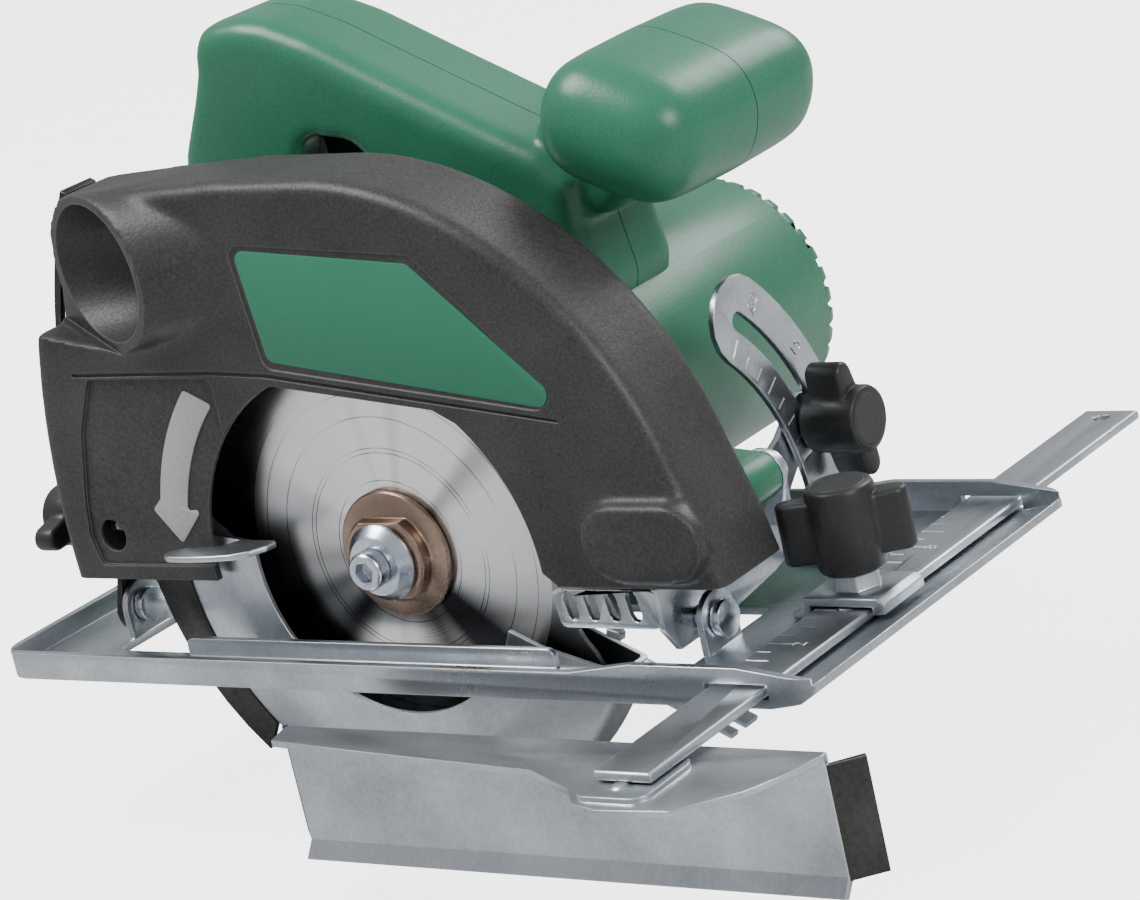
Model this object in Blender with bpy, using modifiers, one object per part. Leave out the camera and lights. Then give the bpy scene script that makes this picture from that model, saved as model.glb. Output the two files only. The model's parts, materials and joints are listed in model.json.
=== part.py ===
"""Hand-held circular saw for a 130 mm blade, as an assembly of separate pieces.

Axes: +X the way the saw cuts, +Y towards the motor, +Z up.  The model's origin is on the
sole, on the strip beside the blade, level with the blade's axis.  Pieces are drawn with
Y measured from the blade's own plane, and one empty carries them to the model's origin.
Lengths below are millimetres; mm() turns them into Blender's metres.
"""
import math

import bmesh
import bpy
from mathutils import Matrix, Vector

# ---------------------------------------------------------------- driving dimensions (mm)
BLADE_PLANE_Y = 20.0                    # blade plane, measured from the model's origin
BLADE_R = 65.0
BLADE_T = 1.4
BLADE_BORE_R = 8.0
TEETH = 20
BLADE_Z = BLADE_R - 40.0                # 40 mm of blade stands below the sole

SOLE_X = (-117.0, 134.0)
SOLE_Y = (-29.0, 90.0)
SHEET = 2.0
RIM_Z = 7.0
RIM_HIGH_Z = 9.5
LIP_Z = 6.6                             # low enough for the blade's bolt at full bevel
ARM_X = (104.8, 120.2)                  # guide arm, 15.4 mm wide
ARM_Z = (2.6, 5.0)
ARM_Y = (-75.0, 152.0)

TILT_Y, TILT_Z = 1.0, 9.0               # bevel axis, along X
QUAD_X = (76.0, 77.6)
QUAD_R = 73.7                           # middle of the bevel slot
QUAD_REST = 18.5                        # clamp screw's place in the slot at rest, degrees
TILT_RANGE = 30.0

PIVOT_X, PIVOT_Z = 88.0, 33.0           # depth axis, along Y
DEPTH_RANGE = 25.0
STRAP_R = (190.0, 192.0)
STRAP_Y = (0.4, 12.0)

GUARD_R = 97.5
GUARD_Y = (-13.0, 14.0)
GUARD_IN_Y = (-11.0, 10.0)
GUARD_Z = 21.5
REAR_WALL_R = 188.0                     # rear wall follows a circle about the depth axis
WINDOW_R = 50.3
CHIP_X, CHIP_Y, CHIP_Z = -65.5, -11.8, 102.0
CHIP_R = 17.7
CHIP_WALL = 2.5
CHIP_TURN = 25.5                        # chip tube's direction, degrees from X
MOUTH_TURN = 66.0                       # chip mouth's plane, degrees from X

MODULE = 1.0
GEAR_TEETH = 42
PINION_TEETH = 14
ARM_AXIS_X, ARM_AXIS_Z = 18.0, 46.5     # armature axis, one gear centre distance away
BARREL_R = 34.5
BARREL_WALL = 2.5
BARREL_Y = (33.3, 124.0)
END_CAP_Y = (124.3, 132.0)
GEARBOX_Y = (14.3, 33.0)
NOSE_R = 20.2

SEAM_Y = 60.0
GRIP_HALF = 18.5
INLET_Z = 74.0                          # cord inlet, in the grip's rear foot
GAP = 0.3


def mm(*values):
    """Millimetres to metres, as a Vector for three values."""
    if len(values) == 1:
        return values[0] * 0.001
    return Vector(values) * 0.001


# ---------------------------------------------------------------- scene and materials
for old in list(bpy.data.objects):
    bpy.data.objects.remove(old, do_unlink=True)

saw = bpy.data.collections.new("circular_saw")
bpy.context.scene.collection.children.link(saw)


def empty(name, x, y, z, parent=None):
    """An axis or a frame that pieces hang from."""
    axis = bpy.data.objects.new(name, None)
    axis.empty_display_size = 0.02
    saw.objects.link(axis)
    axis.parent = parent
    axis.location = mm(x, y, z) - (parent.matrix_world.translation if parent else Vector())
    bpy.context.view_layer.update()
    return axis


def material(name, colour, roughness, metallic=0.0):
    finish = bpy.data.materials.new(name)
    finish.use_nodes = True
    shader = finish.node_tree.nodes["Principled BSDF"]
    shader.inputs["Base Color"].default_value = (*colour, 1.0)
    shader.inputs["Roughness"].default_value = roughness
    shader.inputs["Metallic"].default_value = metallic
    finish.diffuse_color = (*colour, 1.0)
    return finish


GREEN = material("green_plastic", (0.045, 0.20, 0.115), 0.42)
BLACK = material("black_plastic", (0.045, 0.045, 0.042), 0.55)
ZINC = material("zinc_plate", (0.55, 0.58, 0.60), 0.35, 1.0)
STEEL = material("bright_steel", (0.60, 0.60, 0.60), 0.28, 1.0)
DARK_STEEL = material("dark_steel", (0.10, 0.10, 0.10), 0.45, 1.0)
BRONZE = material("bronze", (0.36, 0.25, 0.19), 0.35, 1.0)
COPPER = material("copper", (0.55, 0.25, 0.15), 0.35, 1.0)
CORE = material("lamination", (0.20, 0.20, 0.22), 0.5, 1.0)
CARBON = material("carbon", (0.02, 0.02, 0.02), 0.8)
LABEL = material("green_label", (0.05, 0.21, 0.12), 0.35)
ARROW = material("grey_paint", (0.42, 0.42, 0.42), 0.35)
RUBBER = material("rubber", (0.02, 0.02, 0.02), 0.8)


# ---------------------------------------------------------------- shape helpers
def wrap(mesh, name="work"):
    piece = bpy.data.objects.new(name, mesh)
    saw.objects.link(piece)
    return piece


def tidy(mesh, merge=1e-6):
    """Weld coincident points and turn every face outwards."""
    work = bmesh.new()
    work.from_mesh(mesh)
    bmesh.ops.remove_doubles(work, verts=work.verts, dist=merge)
    bmesh.ops.dissolve_degenerate(work, edges=work.edges, dist=merge)
    bmesh.ops.recalc_face_normals(work, faces=work.faces)
    work.to_mesh(mesh)
    work.free()


def bake(piece):
    """Replace a piece by the mesh that its curve and modifiers make, placed in the world."""
    bpy.context.view_layer.update()
    evaluated = piece.evaluated_get(bpy.context.evaluated_depsgraph_get())
    mesh = bpy.data.meshes.new_from_object(evaluated)
    mesh.transform(piece.matrix_world)
    tidy(mesh)
    bpy.data.objects.remove(piece, do_unlink=True)
    return wrap(mesh)


def prism(outline, axis, low, high, holes=()):
    """A flat outline with holes, pushed out from low to high along an axis.

    The outline's pairs are (y, z) along X, (x, z) along Y and (x, y) along Z.
    """
    curve = bpy.data.curves.new("outline", "CURVE")
    curve.dimensions = "2D"
    curve.fill_mode = "BOTH"
    curve.extrude = mm((high - low) / 2)
    for loop in (outline, *holes):
        spline = curve.splines.new("POLY")
        spline.points.add(len(loop) - 1)
        for point, (u, v) in zip(spline.points, loop):
            point.co = (mm(u), mm(v), 0.0, 1.0)
        spline.use_cyclic_u = True
    piece = bpy.data.objects.new("outline", curve)
    saw.objects.link(piece)
    middle = mm((low + high) / 2)
    if axis == "X":
        piece.matrix_world = Matrix(((0, 0, 1, middle), (1, 0, 0, 0), (0, 1, 0, 0), (0, 0, 0, 1)))
    elif axis == "Y":
        piece.matrix_world = Matrix(((1, 0, 0, 0), (0, 0, -1, middle), (0, 1, 0, 0), (0, 0, 0, 1)))
    else:
        piece.matrix_world = Matrix.Translation((0, 0, middle))
    return bake(piece)


def box(x, y, z):
    """A box from three (low, high) pairs."""
    work = bmesh.new()
    bmesh.ops.create_cube(work, size=1.0)
    size = mm(x[1] - x[0], y[1] - y[0], z[1] - z[0])
    middle = mm(x[0] + x[1], y[0] + y[1], z[0] + z[1]) / 2
    bmesh.ops.scale(work, vec=size, verts=work.verts)
    bmesh.ops.translate(work, vec=middle, verts=work.verts)
    mesh = bpy.data.meshes.new("box")
    work.to_mesh(mesh)
    work.free()
    return wrap(mesh)


def turn_to(axis, centre):
    """Placement that turns a shape made along Z onto an axis."""
    way = {"X": Vector((1, 0, 0)), "Y": Vector((0, 1, 0)), "Z": Vector((0, 0, 1))}
    way = way[axis] if isinstance(axis, str) else Vector(axis)
    turn = Vector((0, 0, 1)).rotation_difference(way).to_matrix().to_4x4()
    return Matrix.Translation(mm(*centre)) @ turn


def turned(profile, axis, centre, steps=20, ring=False):
    """A profile of (radius, along) pairs turned round an axis; ring closes the profile."""
    mesh = bpy.data.meshes.new("profile")
    count = len(profile)
    edges = [(i, i + 1) for i in range(count - 1)]
    if ring:
        edges.append((count - 1, 0))
    mesh.from_pydata([(mm(r), 0.0, mm(a)) for r, a in profile], edges, [])
    piece = wrap(mesh)
    screw = piece.modifiers.new("turn", "SCREW")
    screw.steps = steps
    screw.render_steps = steps
    screw.use_merge_vertices = True
    screw.merge_threshold = 0.00001
    piece.matrix_world = turn_to(axis, centre)
    return bake(piece)


def cylinder(radius, axis, centre, low, high, steps=16):
    """A plain cylinder between two places along an axis through centre."""
    return turned([(0, high), (radius, high), (radius, low), (0, low)], axis, centre, steps)


def ring(outer, inner, axis, centre, low, high, steps=20):
    profile = [(outer, high), (outer, low), (inner, low), (inner, high)]
    return turned(profile, axis, centre, steps, ring=True)


def solid(piece, other, operation, solver):
    step = piece.modifiers.new("join", "BOOLEAN")
    step.operation = operation
    step.solver = solver
    step.object = other
    result = bake(piece)
    bpy.data.objects.remove(other, do_unlink=True)
    return result


def add(piece, *others, solver="EXACT"):
    for other in others:
        piece = solid(piece, other, "UNION", solver)
    return piece


def cut(piece, *others, solver="EXACT"):
    for other in others:
        piece = solid(piece, other, "DIFFERENCE", solver)
    return piece


def keep(piece, other):
    return solid(piece, other, "INTERSECT", "EXACT")


def soften(piece, width, segments=2, angle=40.0):
    """Round the edges sharper than an angle."""
    edge = piece.modifiers.new("round", "BEVEL")
    edge.width = mm(width)
    edge.segments = segments
    edge.limit_method = "ANGLE"
    edge.angle_limit = math.radians(angle)
    edge.use_clamp_overlap = True
    return bake(piece)


def arc(cx, cz, radius, start, stop, count):
    """Points of an arc, angles in degrees."""
    points = []
    for i in range(count + 1):
        angle = math.radians(start + (stop - start) * i / count)
        points.append((cx + radius * math.cos(angle), cz + radius * math.sin(angle)))
    return points


def filleted(corners, radius, count=4):
    """Round every corner of an outline."""
    points = []
    for i, corner in enumerate(corners):
        here = Vector(corner)
        back = Vector(corners[i - 1]) - here
        ahead = Vector(corners[(i + 1) % len(corners)]) - here
        half = back.angle(ahead) / 2
        reach = min(radius / math.tan(half), back.length * 0.48, ahead.length * 0.48)
        size = reach * math.tan(half)
        middle = here + (back.normalized() + ahead.normalized()).normalized() * (size / math.sin(half))
        first = here + back.normalized() * reach - middle
        last = here + ahead.normalized() * reach - middle
        sweep = first.angle_signed(last)
        for k in range(count + 1):
            points.append(tuple(middle + Matrix.Rotation(-sweep * k / count, 2) @ first))
    return points


def capsule(ax, az, bx, bz, radius, count=6):
    """Outline of a slot between two centres."""
    lean = math.degrees(math.atan2(bz - az, bx - ax))
    first = arc(ax, az, radius, lean + 90, lean + 270, count)
    return first + arc(bx, bz, radius, lean - 90, lean + 90, count)


def curved_slot(cx, cz, middle, half, start, stop, count=10):
    """Outline of a slot along an arc, with round ends."""
    points = arc(cx, cz, middle + half, start, stop, count)
    points += arc(*arc(cx, cz, middle, stop, stop, 1)[0], half, stop, stop + 180, 5)[1:-1]
    points += arc(cx, cz, middle - half, stop, start, count)
    points += arc(*arc(cx, cz, middle, start, start, 1)[0], half, start + 180, start + 360, 5)[1:-1]
    return points


def place(piece, name, finish, parent, smooth=35.0):
    """Name a finished piece, give it its material and hang it from its axis."""
    piece.name = name
    piece.data.name = name
    piece.data.materials.clear()
    piece.data.materials.append(finish)
    piece.data.shade_smooth()
    piece.data.set_sharp_from_angle(angle=math.radians(smooth))
    # the mesh moves so that the object's own origin is its parent's axis
    inside = parent.matrix_world.translation - mm(0, BLADE_PLANE_Y, 0)
    piece.data.transform(Matrix.Translation(-inside))
    piece.parent = parent
    return piece


# ---------------------------------------------------------------- frames that pieces hang from
base = empty("base_frame", 0, BLADE_PLANE_Y, 0)
guide_axis = empty("guide_axis", 112.5, BLADE_PLANE_Y, 3.8)
GUIDE_SCREW_Y = 25.5
guide_screw_axis = empty("guide_screw_axis", 112.5, BLADE_PLANE_Y + GUIDE_SCREW_Y, 10)
tilt_axis = empty("tilt_axis", 0, BLADE_PLANE_Y + TILT_Y, TILT_Z)
screw_y = TILT_Y + QUAD_R * math.cos(math.radians(QUAD_REST))
screw_z = TILT_Z + QUAD_R * math.sin(math.radians(QUAD_REST))
bevel_screw_axis = empty("bevel_screw_axis", 90, BLADE_PLANE_Y + screw_y, screw_z)
depth_axis = empty("depth_axis", PIVOT_X, BLADE_PLANE_Y, PIVOT_Z)
NUT_Y = 5.5
NUT_Z = PIVOT_Z - 1.0
depth_nut_axis = empty("depth_nut_axis", -110, BLADE_PLANE_Y + NUT_Y, NUT_Z)
spindle_axis = empty("spindle_axis", 0, BLADE_PLANE_Y, BLADE_Z)
armature_axis = empty("armature_axis", ARM_AXIS_X, BLADE_PLANE_Y, ARM_AXIS_Z)
guard_axis = empty("guard_axis", 0, BLADE_PLANE_Y, BLADE_Z)
TRIGGER_X, TRIGGER_Z = -38.0, 119.0
trigger_axis = empty("trigger_axis", TRIGGER_X, BLADE_PLANE_Y + SEAM_Y, TRIGGER_Z)
BUTTON_X, BUTTON_Z = -46.0, 131.0
button_axis = empty("button_axis", BUTTON_X, BLADE_PLANE_Y + SEAM_Y + GRIP_HALF, BUTTON_Z)


# ---------------------------------------------------------------- base
OPENING = [(-91, -13.5), (88, -13.5), (88, 24), (34, 24), (34, 43), (-34, 43), (-34, 24), (-91, 24)]


def base_plate():
    """Pressed sole: floor with a raised nose, turned-up rims and the blade opening."""
    x0, x1 = SOLE_X
    side = [(x0, 0), (121, 0), (129, 1.3), (x1, 4.4), (x1, 6.6), (128.4, 3.4), (120.8, SHEET), (x0, SHEET)]
    rim = [(x0, 0), (121, 0), (129, 1.3), (x1, 4.4), (x1, 6.6), (113, RIM_HIGH_Z), (84, RIM_HIGH_Z)]
    rim += [(66, RIM_Z), (x0, RIM_Z)]
    plate = prism(side, "Y", *SOLE_Y)
    plate = add(plate, prism(rim, "Y", SOLE_Y[0], SOLE_Y[0] + SHEET))
    plate = add(plate, prism(rim, "Y", SOLE_Y[1] - SHEET, SOLE_Y[1]))
    plate = add(plate, box((x0, x0 + SHEET), SOLE_Y, (0, RIM_Z)))
    corners = [(x0, SOLE_Y[0]), (x1, SOLE_Y[0]), (x1, SOLE_Y[1]), (x0, SOLE_Y[1])]
    plate = keep(plate, prism(filleted(corners, 7.0), "Z", -1, 12))
    plate = cut(plate, prism(filleted(OPENING, 3.0), "Z", -1, 5))
    lip = prism(filleted([(-64, 0), (52, 0), (52, LIP_Z), (-64, LIP_Z)], 2.0), "Y", -15.2, -13.6)
    lip = cut(lip, box((-70, 60), (-20, 0), (-1, 0.6)))
    plate = add(plate, lip)
    for y0, y1 in ((SOLE_Y[0] - 1, SOLE_Y[0] + 3), (SOLE_Y[1] - 3, SOLE_Y[1] + 1)):
        plate = cut(plate, box((ARM_X[0] - 0.8, ARM_X[1] + 0.8), (y0, y1), (SHEET + 0.1, 5.8)))
    for x0, x1 in ((88.0, 89.7), (-93.0, -91.3)):
        ear = [(TILT_Y - 7, 0.5), (TILT_Y + 7, 0.5)] + arc(TILT_Y, TILT_Z, 7.0, 0, 180, 10)
        plate = add(plate, prism(ear, "X", x0, x1))
        plate = cut(plate, cylinder(2.8, "X", (0, TILT_Y, TILT_Z), x0 - 1, x1 + 1, 16))
    return plate


place(base_plate(), "base_plate", ZINC, base)


def pivot_bolt(low, high, head_at_high):
    """Rivet-like bolt on the bevel axis, with a head at each end."""
    head = (high, high + 2.4) if head_at_high else (low - 2.4, low)
    tail = (low - 1.8, low) if head_at_high else (high, high + 1.8)
    bolt = cylinder(2.5, "X", (0, TILT_Y, TILT_Z), low - 0.5, high + 0.5, 16)
    bolt = add(bolt, cylinder(4.6, "X", (0, TILT_Y, TILT_Z), *head, 16))
    return add(bolt, cylinder(4.0, "X", (0, TILT_Y, TILT_Z), *tail, 6))


place(pivot_bolt(82.2, 90.0, True), "front_bevel_bolt", ZINC, base)
place(pivot_bolt(-95.5, -91.0, True), "rear_bevel_bolt", ZINC, base)


def bevel_quadrant():
    """Slotted scale plate for the bevel, on a leg and a riveted foot."""
    stop = QUAD_REST + TILT_RANGE + 0.5
    inner, outer = QUAD_R - 10.4, QUAD_R + 11.6
    outline = arc(TILT_Y, TILT_Z, outer, 2, stop, 14)
    end = arc(TILT_Y, TILT_Z, (inner + outer) / 2, stop, stop, 1)[0]
    outline += arc(*end, (outer - inner) / 2, stop, stop + 180, 8)[1:-1]
    outline += arc(TILT_Y, TILT_Z, inner, stop, 2, 12)
    outline += [(62.5, SHEET + 0.4), (84.5, SHEET + 0.4)]
    slot = curved_slot(TILT_Y, TILT_Z, QUAD_R, 2.4, QUAD_REST - 1, QUAD_REST + TILT_RANGE + 1, 14)
    plate = prism(outline, "X", *QUAD_X, holes=[slot])
    foot = prism(filleted([(QUAD_X[0], 53.0), (98, 50.0), (98, 67.0), (84, 78.0),
                           (QUAD_X[0], 78.0)], 2.0), "Z", SHEET + 0.3, SHEET + 2.1)
    return add(plate, foot)


place(bevel_quadrant(), "bevel_quadrant", ZINC, base)
rivet = [(0, 6.4), (2.4, 6.0), (3.6, 4.5), (0, 4.5)]
place(turned(rivet, "Z", (93, 58.5, 0), 12), "quadrant_rivet", ZINC, base)


def guide_bridge():
    """Strap over the guide arm, with a raised nut for the clamp screw."""
    arch = [(ARM_X[0] - 6, 2.3), (ARM_X[0] - 0.8, 2.3), (ARM_X[0] - 0.8, 5.6), (ARM_X[1] + 0.8, 5.6)]
    arch += [(ARM_X[1] + 0.8, 3.6), (124.6, 4.0), (124.6, 6.4), (122.6, 7.6), (ARM_X[0] - 2.6, 7.6)]
    arch += [(ARM_X[0] - 3.6, 4.3), (ARM_X[0] - 6, 4.3)]
    strap = prism(arch, "Y", GUIDE_SCREW_Y - 9, GUIDE_SCREW_Y + 9)
    nut = cylinder(6.0, "Z", (112.5, GUIDE_SCREW_Y, 0), 7.0, 11.6, 6)
    strap = add(strap, nut)
    return cut(strap, cylinder(3.3, "Z", (112.5, GUIDE_SCREW_Y, 0), 5, 13, 16))


place(guide_bridge(), "guide_clamp_bridge", ZINC, base)


def wing_knob(axis, centre, low, stem_to, height=20.0, lean=0.0, stem_r=3.0):
    """Two-winged moulded knob on a screw, made along Z and turned onto its axis."""
    wings = []
    for side in (0, 180):
        wings += arc(0, 0, 8.5, side - 62, side - 24, 1)
        wings += arc(12.4 * math.cos(math.radians(side)), 12.4 * math.sin(math.radians(side)),
                     3.2, side - 80, side + 80, 3)
        wings += arc(0, 0, 8.5, side + 24, side + 62, 1)
    knob = prism(wings, "Z", low + 3, low + height - 3)
    hub = [(0, low + height), (6.6, low + height), (8.1, low + height - 1.2), (8.1, low + 1)]
    hub += [(7.4, low), (0, low)]
    knob = add(knob, turned(hub, "Z", (0, 0, 0), 16))
    knob = add(knob, cylinder(stem_r, "Z", (0, 0, 0), stem_to, low + 1, 12))
    turn = Matrix.Rotation(math.radians(lean), 4, "Z")
    knob.data.transform(turn_to(axis, centre) @ turn)
    return knob


guide_knob = wing_knob("Z", (112.5, GUIDE_SCREW_Y, 0), 12.0, 5.4, 21.0, lean=28.0)
place(guide_knob, "guide_wing_screw", BLACK, guide_screw_axis)


# ---------------------------------------------------------------- parallel guide
def guide_arm():
    arm = box(ARM_X, ARM_Y, ARM_Z)
    arm = soften(arm, 0.5, 1, 60)
    return cut(arm, cylinder(2.2, "Z", (112.5, 146, 0), 0, 9, 16))


def fence():
    """One bent sheet: flange under the arm, guide wall below the sole, swept ends."""
    flange = [(-2, -53), (0, -60), (26, -63), (82, -68), (98, -76), (104, -83), (112, -85.5)]
    flange += [(130, -84), (142, -72), (147, -62), (149.5, -53)]
    top = prism(flange, "Z", -0.6, 1.0)
    pad = prism(filleted([(103, -82), (122, -82), (122, -60), (103, -60)], 4.0), "Z", 0.5, 2.3)
    wall = prism([(-2, 1.0), (149.5, 1.0), (149.5, -29), (-2, -29)], "Y", -53, -51.4)
    foot = prism([(-53, -27.5), (-51.4, -28.5), (-54.5, -32.0), (-56.0, -31.4)], "X", -2, 149.5)
    piece = add(top, pad, wall, foot)
    for x, way in ((-2.0, -1), (149.5, 1)):
        strip = [(x - way * 0.2, -53), (x - way * 0.2, -51.4)]
        strip += [(x + way * 5.5, -45.5), (x + way * 6.6, -46.6)]
        end = prism(strip, "Z", -28.5, -1.5)
        piece = add(piece, end)
    return piece


place(guide_arm(), "guide_arm", ZINC, guide_axis)
place(fence(), "guide_fence", ZINC, guide_axis)


# ---------------------------------------------------------------- tilting bracket
def tilt_bracket():
    """Bent sheet at the front: slotted plate, cross wall, depth ears and screw lug."""
    slots = [capsule(x, 14.8, x - 0.6, 19.2, 1.7, 4) for x in (59, 65, 71, 77)]
    near = filleted([(55, 11.5), (83.4, 11.5), (83.4, 20.9), (53.5, 20.9)], 1.5, 2)
    bracket = prism(near, "Y", -13.0, -11.4, holes=slots)
    low = [(-12.7, 11.2), (-8, 4.6), (8, 4.6), (34, 7.5), (46, 10.5)]
    high = [(46, 29), (36, 27), (34, 23), (14, 21.2), (-12.7, 21.2)]
    bracket = add(bracket, prism(low + high, "X", 82.4, 84.0))
    lug = [(44.8, 14), (54, 15), (66, 24.5)] + arc(screw_y, screw_z, 7.0, -60, 120, 8)
    lug += [(58, 32), (44.8, 27)]
    bracket = add(bracket, prism(lug, "X", 73.8, 75.4), box((73.9, 83.9), (44.2, 45.7), (13.2, 28.4)))
    ear = [(82.6, 20), (90, 20)] + arc(PIVOT_X, PIVOT_Z, 6.0, -20, 180, 10)
    for y0 in (14.9, 31.0):
        bracket = add(bracket, prism(ear, "Y", y0, y0 + 1.8))
    bracket = cut(bracket, cylinder(3.05, "Y", (PIVOT_X, 0, PIVOT_Z), 10, 38, 20))
    bracket = cut(bracket, cylinder(2.8, "X", (0, TILT_Y, TILT_Z), 80, 86, 16))
    return cut(bracket, cylinder(2.3, "X", (0, screw_y, screw_z), 72, 77, 16))


place(tilt_bracket(), "tilt_bracket", ZINC, tilt_axis)


def depth_strap():
    """Slotted strap, bent round the depth axis, that the depth nut clamps against."""
    low = math.degrees(math.asin((PIVOT_Z - 17.5) / STRAP_R[0]))
    high = -math.degrees(math.asin((119.4 - PIVOT_Z) / STRAP_R[0]))
    band = arc(PIVOT_X, PIVOT_Z, STRAP_R[1], 180 + low, 180 + high, 16)
    band += arc(PIVOT_X, PIVOT_Z, STRAP_R[0], 180 + high, 180 + low, 16)
    strap = prism(band, "Y", *STRAP_Y)
    rest = math.degrees(math.asin((PIVOT_Z - NUT_Z) / STRAP_R[0]))
    window = arc(PIVOT_X, PIVOT_Z, STRAP_R[1] + 2, 180 + rest + 1.2, 180 + rest - DEPTH_RANGE - 1.2, 12)
    window += arc(PIVOT_X, PIVOT_Z, STRAP_R[0] - 2, 180 + rest - DEPTH_RANGE - 1.2, 180 + rest + 1.2, 12)
    strap = cut(strap, prism(window, "Y", NUT_Y - 3.3, NUT_Y + 3.3))
    shelf = box((-103.2, -93.6), STRAP_Y, (16.6, 18.4))
    lug = [(TILT_Y - 7, TILT_Z)] + arc(TILT_Y, TILT_Z, 7.0, 180, 360, 10)
    lug += [(STRAP_Y[1], 14), (STRAP_Y[1], 18.2), (STRAP_Y[0] - 3, 18.2)]
    strap = add(strap, shelf, prism(lug, "X", -95.2, -93.6))
    return cut(strap, cylinder(2.8, "X", (0, TILT_Y, TILT_Z), -97, -92, 16))


place(depth_strap(), "depth_strap", ZINC, tilt_axis)
pin = add(cylinder(3.0, "Y", (PIVOT_X, 0, PIVOT_Z), 14.6, 33.6, 20),
          cylinder(5.0, "Y", (PIVOT_X, 0, PIVOT_Z), 33.1, 35.2, 20))
place(pin, "depth_pivot_pin", STEEL, tilt_axis)
bevel_knob = wing_knob("X", (0, screw_y, screw_z), 78.2, 72.6, 16.0, lean=12.0, stem_r=2.1)
place(bevel_knob, "bevel_wing_screw", BLACK, bevel_screw_axis)


# ---------------------------------------------------------------- upper guard
def rear_wall(radius, z_from, z_to, count):
    """Points of the guard's rear wall, a circle about the depth axis."""
    points = []
    for i in range(count + 1):
        z = z_from + (z_to - z_from) * i / count
        points.append((PIVOT_X - math.sqrt(radius ** 2 - (z - PIVOT_Z) ** 2), z))
    return points


def upper_guard():
    """Moulded guard: hollow arch with a blade window, chip tube and front boss."""
    front = [(102.5, GUARD_Z), (99.6, 34)] + arc(0, BLADE_Z, GUARD_R, 12, 84, 14)
    outline = front + [(-22, 123), (-50, 122), (-77, 120.5)]
    outline += rear_wall(REAR_WALL_R, 112, GUARD_Z, 8)
    body = prism(outline, "Y", *GUARD_Y)
    body = soften(body, 2.2, 2, 50)

    way = Vector((math.cos(math.radians(CHIP_TURN)), math.sin(math.radians(CHIP_TURN)), 0))
    # the mouth is a slanting face across the guard's rear upper corner
    face = Vector((-math.cos(math.radians(MOUTH_TURN)), -math.sin(math.radians(MOUTH_TURN))))
    along = Vector((-face.y, face.x))
    start = Vector((CHIP_X, CHIP_Y))
    edge = [start + along * 60, start - along * 60]
    corner = [tuple(p) for p in edge + [p + face * 60 for p in reversed(edge)]]
    tube = cylinder(CHIP_R + CHIP_WALL, way, (CHIP_X, CHIP_Y, CHIP_Z), -32, 38, 24)
    tube = cut(tube, box((-140, 60), (6, 80), (40, 160)))
    tube = cut(tube, prism(corner, "Z", 60, 140))
    ramp = prism([(-140, 60), (-60, 60), (-60, 81.0), (-92, 87.2), (-140, 87.2)], "Y", -90, 60)
    body = cut(body, cut(prism(corner, "Z", 70, 140), ramp))
    body = add(body, tube)

    inside = [(100.2, 0), (97.4, 34)] + arc(0, BLADE_Z, GUARD_R - 2.6, 12, 88, 14)
    inside += [(-30, 116), (-52, 80)] + rear_wall(REAR_WALL_R - 2.6, 80, GUARD_Z, 5) + [(-97, 0)]
    body = cut(body, prism(inside, "Y", *GUARD_IN_Y))
    bore = cylinder(CHIP_R, way, (CHIP_X, CHIP_Y, CHIP_Z), -36, 42, 24)
    bore = cut(bore, box((-140, 60), (GUARD_IN_Y[1] - 0.2, 80), (40, 160)))
    body = cut(body, bore)

    window = arc(0, BLADE_Z, WINDOW_R, 200, 110, 10) + [(31, 65.5)]
    window += arc(0, BLADE_Z, 52.5, 45, 0, 6) + [(56, 22), (58, 10), (-50, 10)]
    body = cut(body, prism(window, "Y", GUARD_Y[0] - 6, GUARD_IN_Y[0] + 1))
    body = cut(body, cylinder(24.9, "Y", (0, 0, BLADE_Z), 8, 16, 32))
    body = cut(body, cylinder(4.2, "Y", (-83, 0, 33), GUARD_Y[0] - 2, GUARD_IN_Y[0] + 1, 16))

    panel = [(-76, 74.5), (-83, 61), (-88, 42), (-89.5, 33), (-87, 27), (-83, 25.4), (-36, 25.4)]
    panel += [(-36, 74.5)]
    body = cut(body, prism(panel, "Y", GUARD_Y[0] - 1, GUARD_Y[0] + 0.8))
    body = cut(body, prism(label_outline(0.0), "Y", GUARD_Y[0] - 1, GUARD_Y[0] + 0.9))
    boss = capsule(60, 33.0, 92.5, 33.0, 9.0, 8)
    bump = prism(boss, "Y", GUARD_Y[0] - 3.4, GUARD_Y[0] + 0.5)
    bump = cut(bump, box((50, 72), (-20, -10), (15, 60)))
    bump = cut(bump, box((50, 120), (-20, -10), (10, GUARD_Z + 0.02)))
    body = add(body, bump)
    # boss for the riving knife, hole for the depth bolt, holes for the guard screws
    knife = (KNIFE_X, 0, KNIFE_Z)
    body = add(body, cylinder(5.2, "Y", knife, 1.3, GUARD_Y[1] - 1, 20))
    body = cut(body, cylinder(2.3, "Y", knife, 0, GUARD_Y[1] + 1, 12))
    body = cut(body, cylinder(3.3, "X", (0, NUT_Y, NUT_Z), -105, -90, 16))
    for x, z in GUARD_SCREWS:
        body = cut(body, cylinder(2.3, "Y", (x, 0, z), 8, 16, 12))
    return body


def label_outline(inset):
    """Outline of the label on the guard's side, drawn in by inset."""
    corners = [(-19 + inset, 106.5 - inset), (33.5 - inset * 0.4, 101.2 - inset), (67 - inset * 1.6, 69.5),
               (64.2 - inset, 65.4 + inset), (-16 + inset * 0.7, 78.2 + inset)]
    return filleted(corners[::-1], 3.0, 3)


KNIFE_X, KNIFE_Z = -77.2, 46.0
GUARD_SCREWS = [(44.5, 51.0), (12.0, 74.5), (-12.0, 60.0)]
place(upper_guard(), "upper_guard", BLACK, depth_axis)
place(prism(label_outline(0.4), "Y", GUARD_Y[0], GUARD_Y[0] + 0.6), "guard_label", LABEL, depth_axis)


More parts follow.
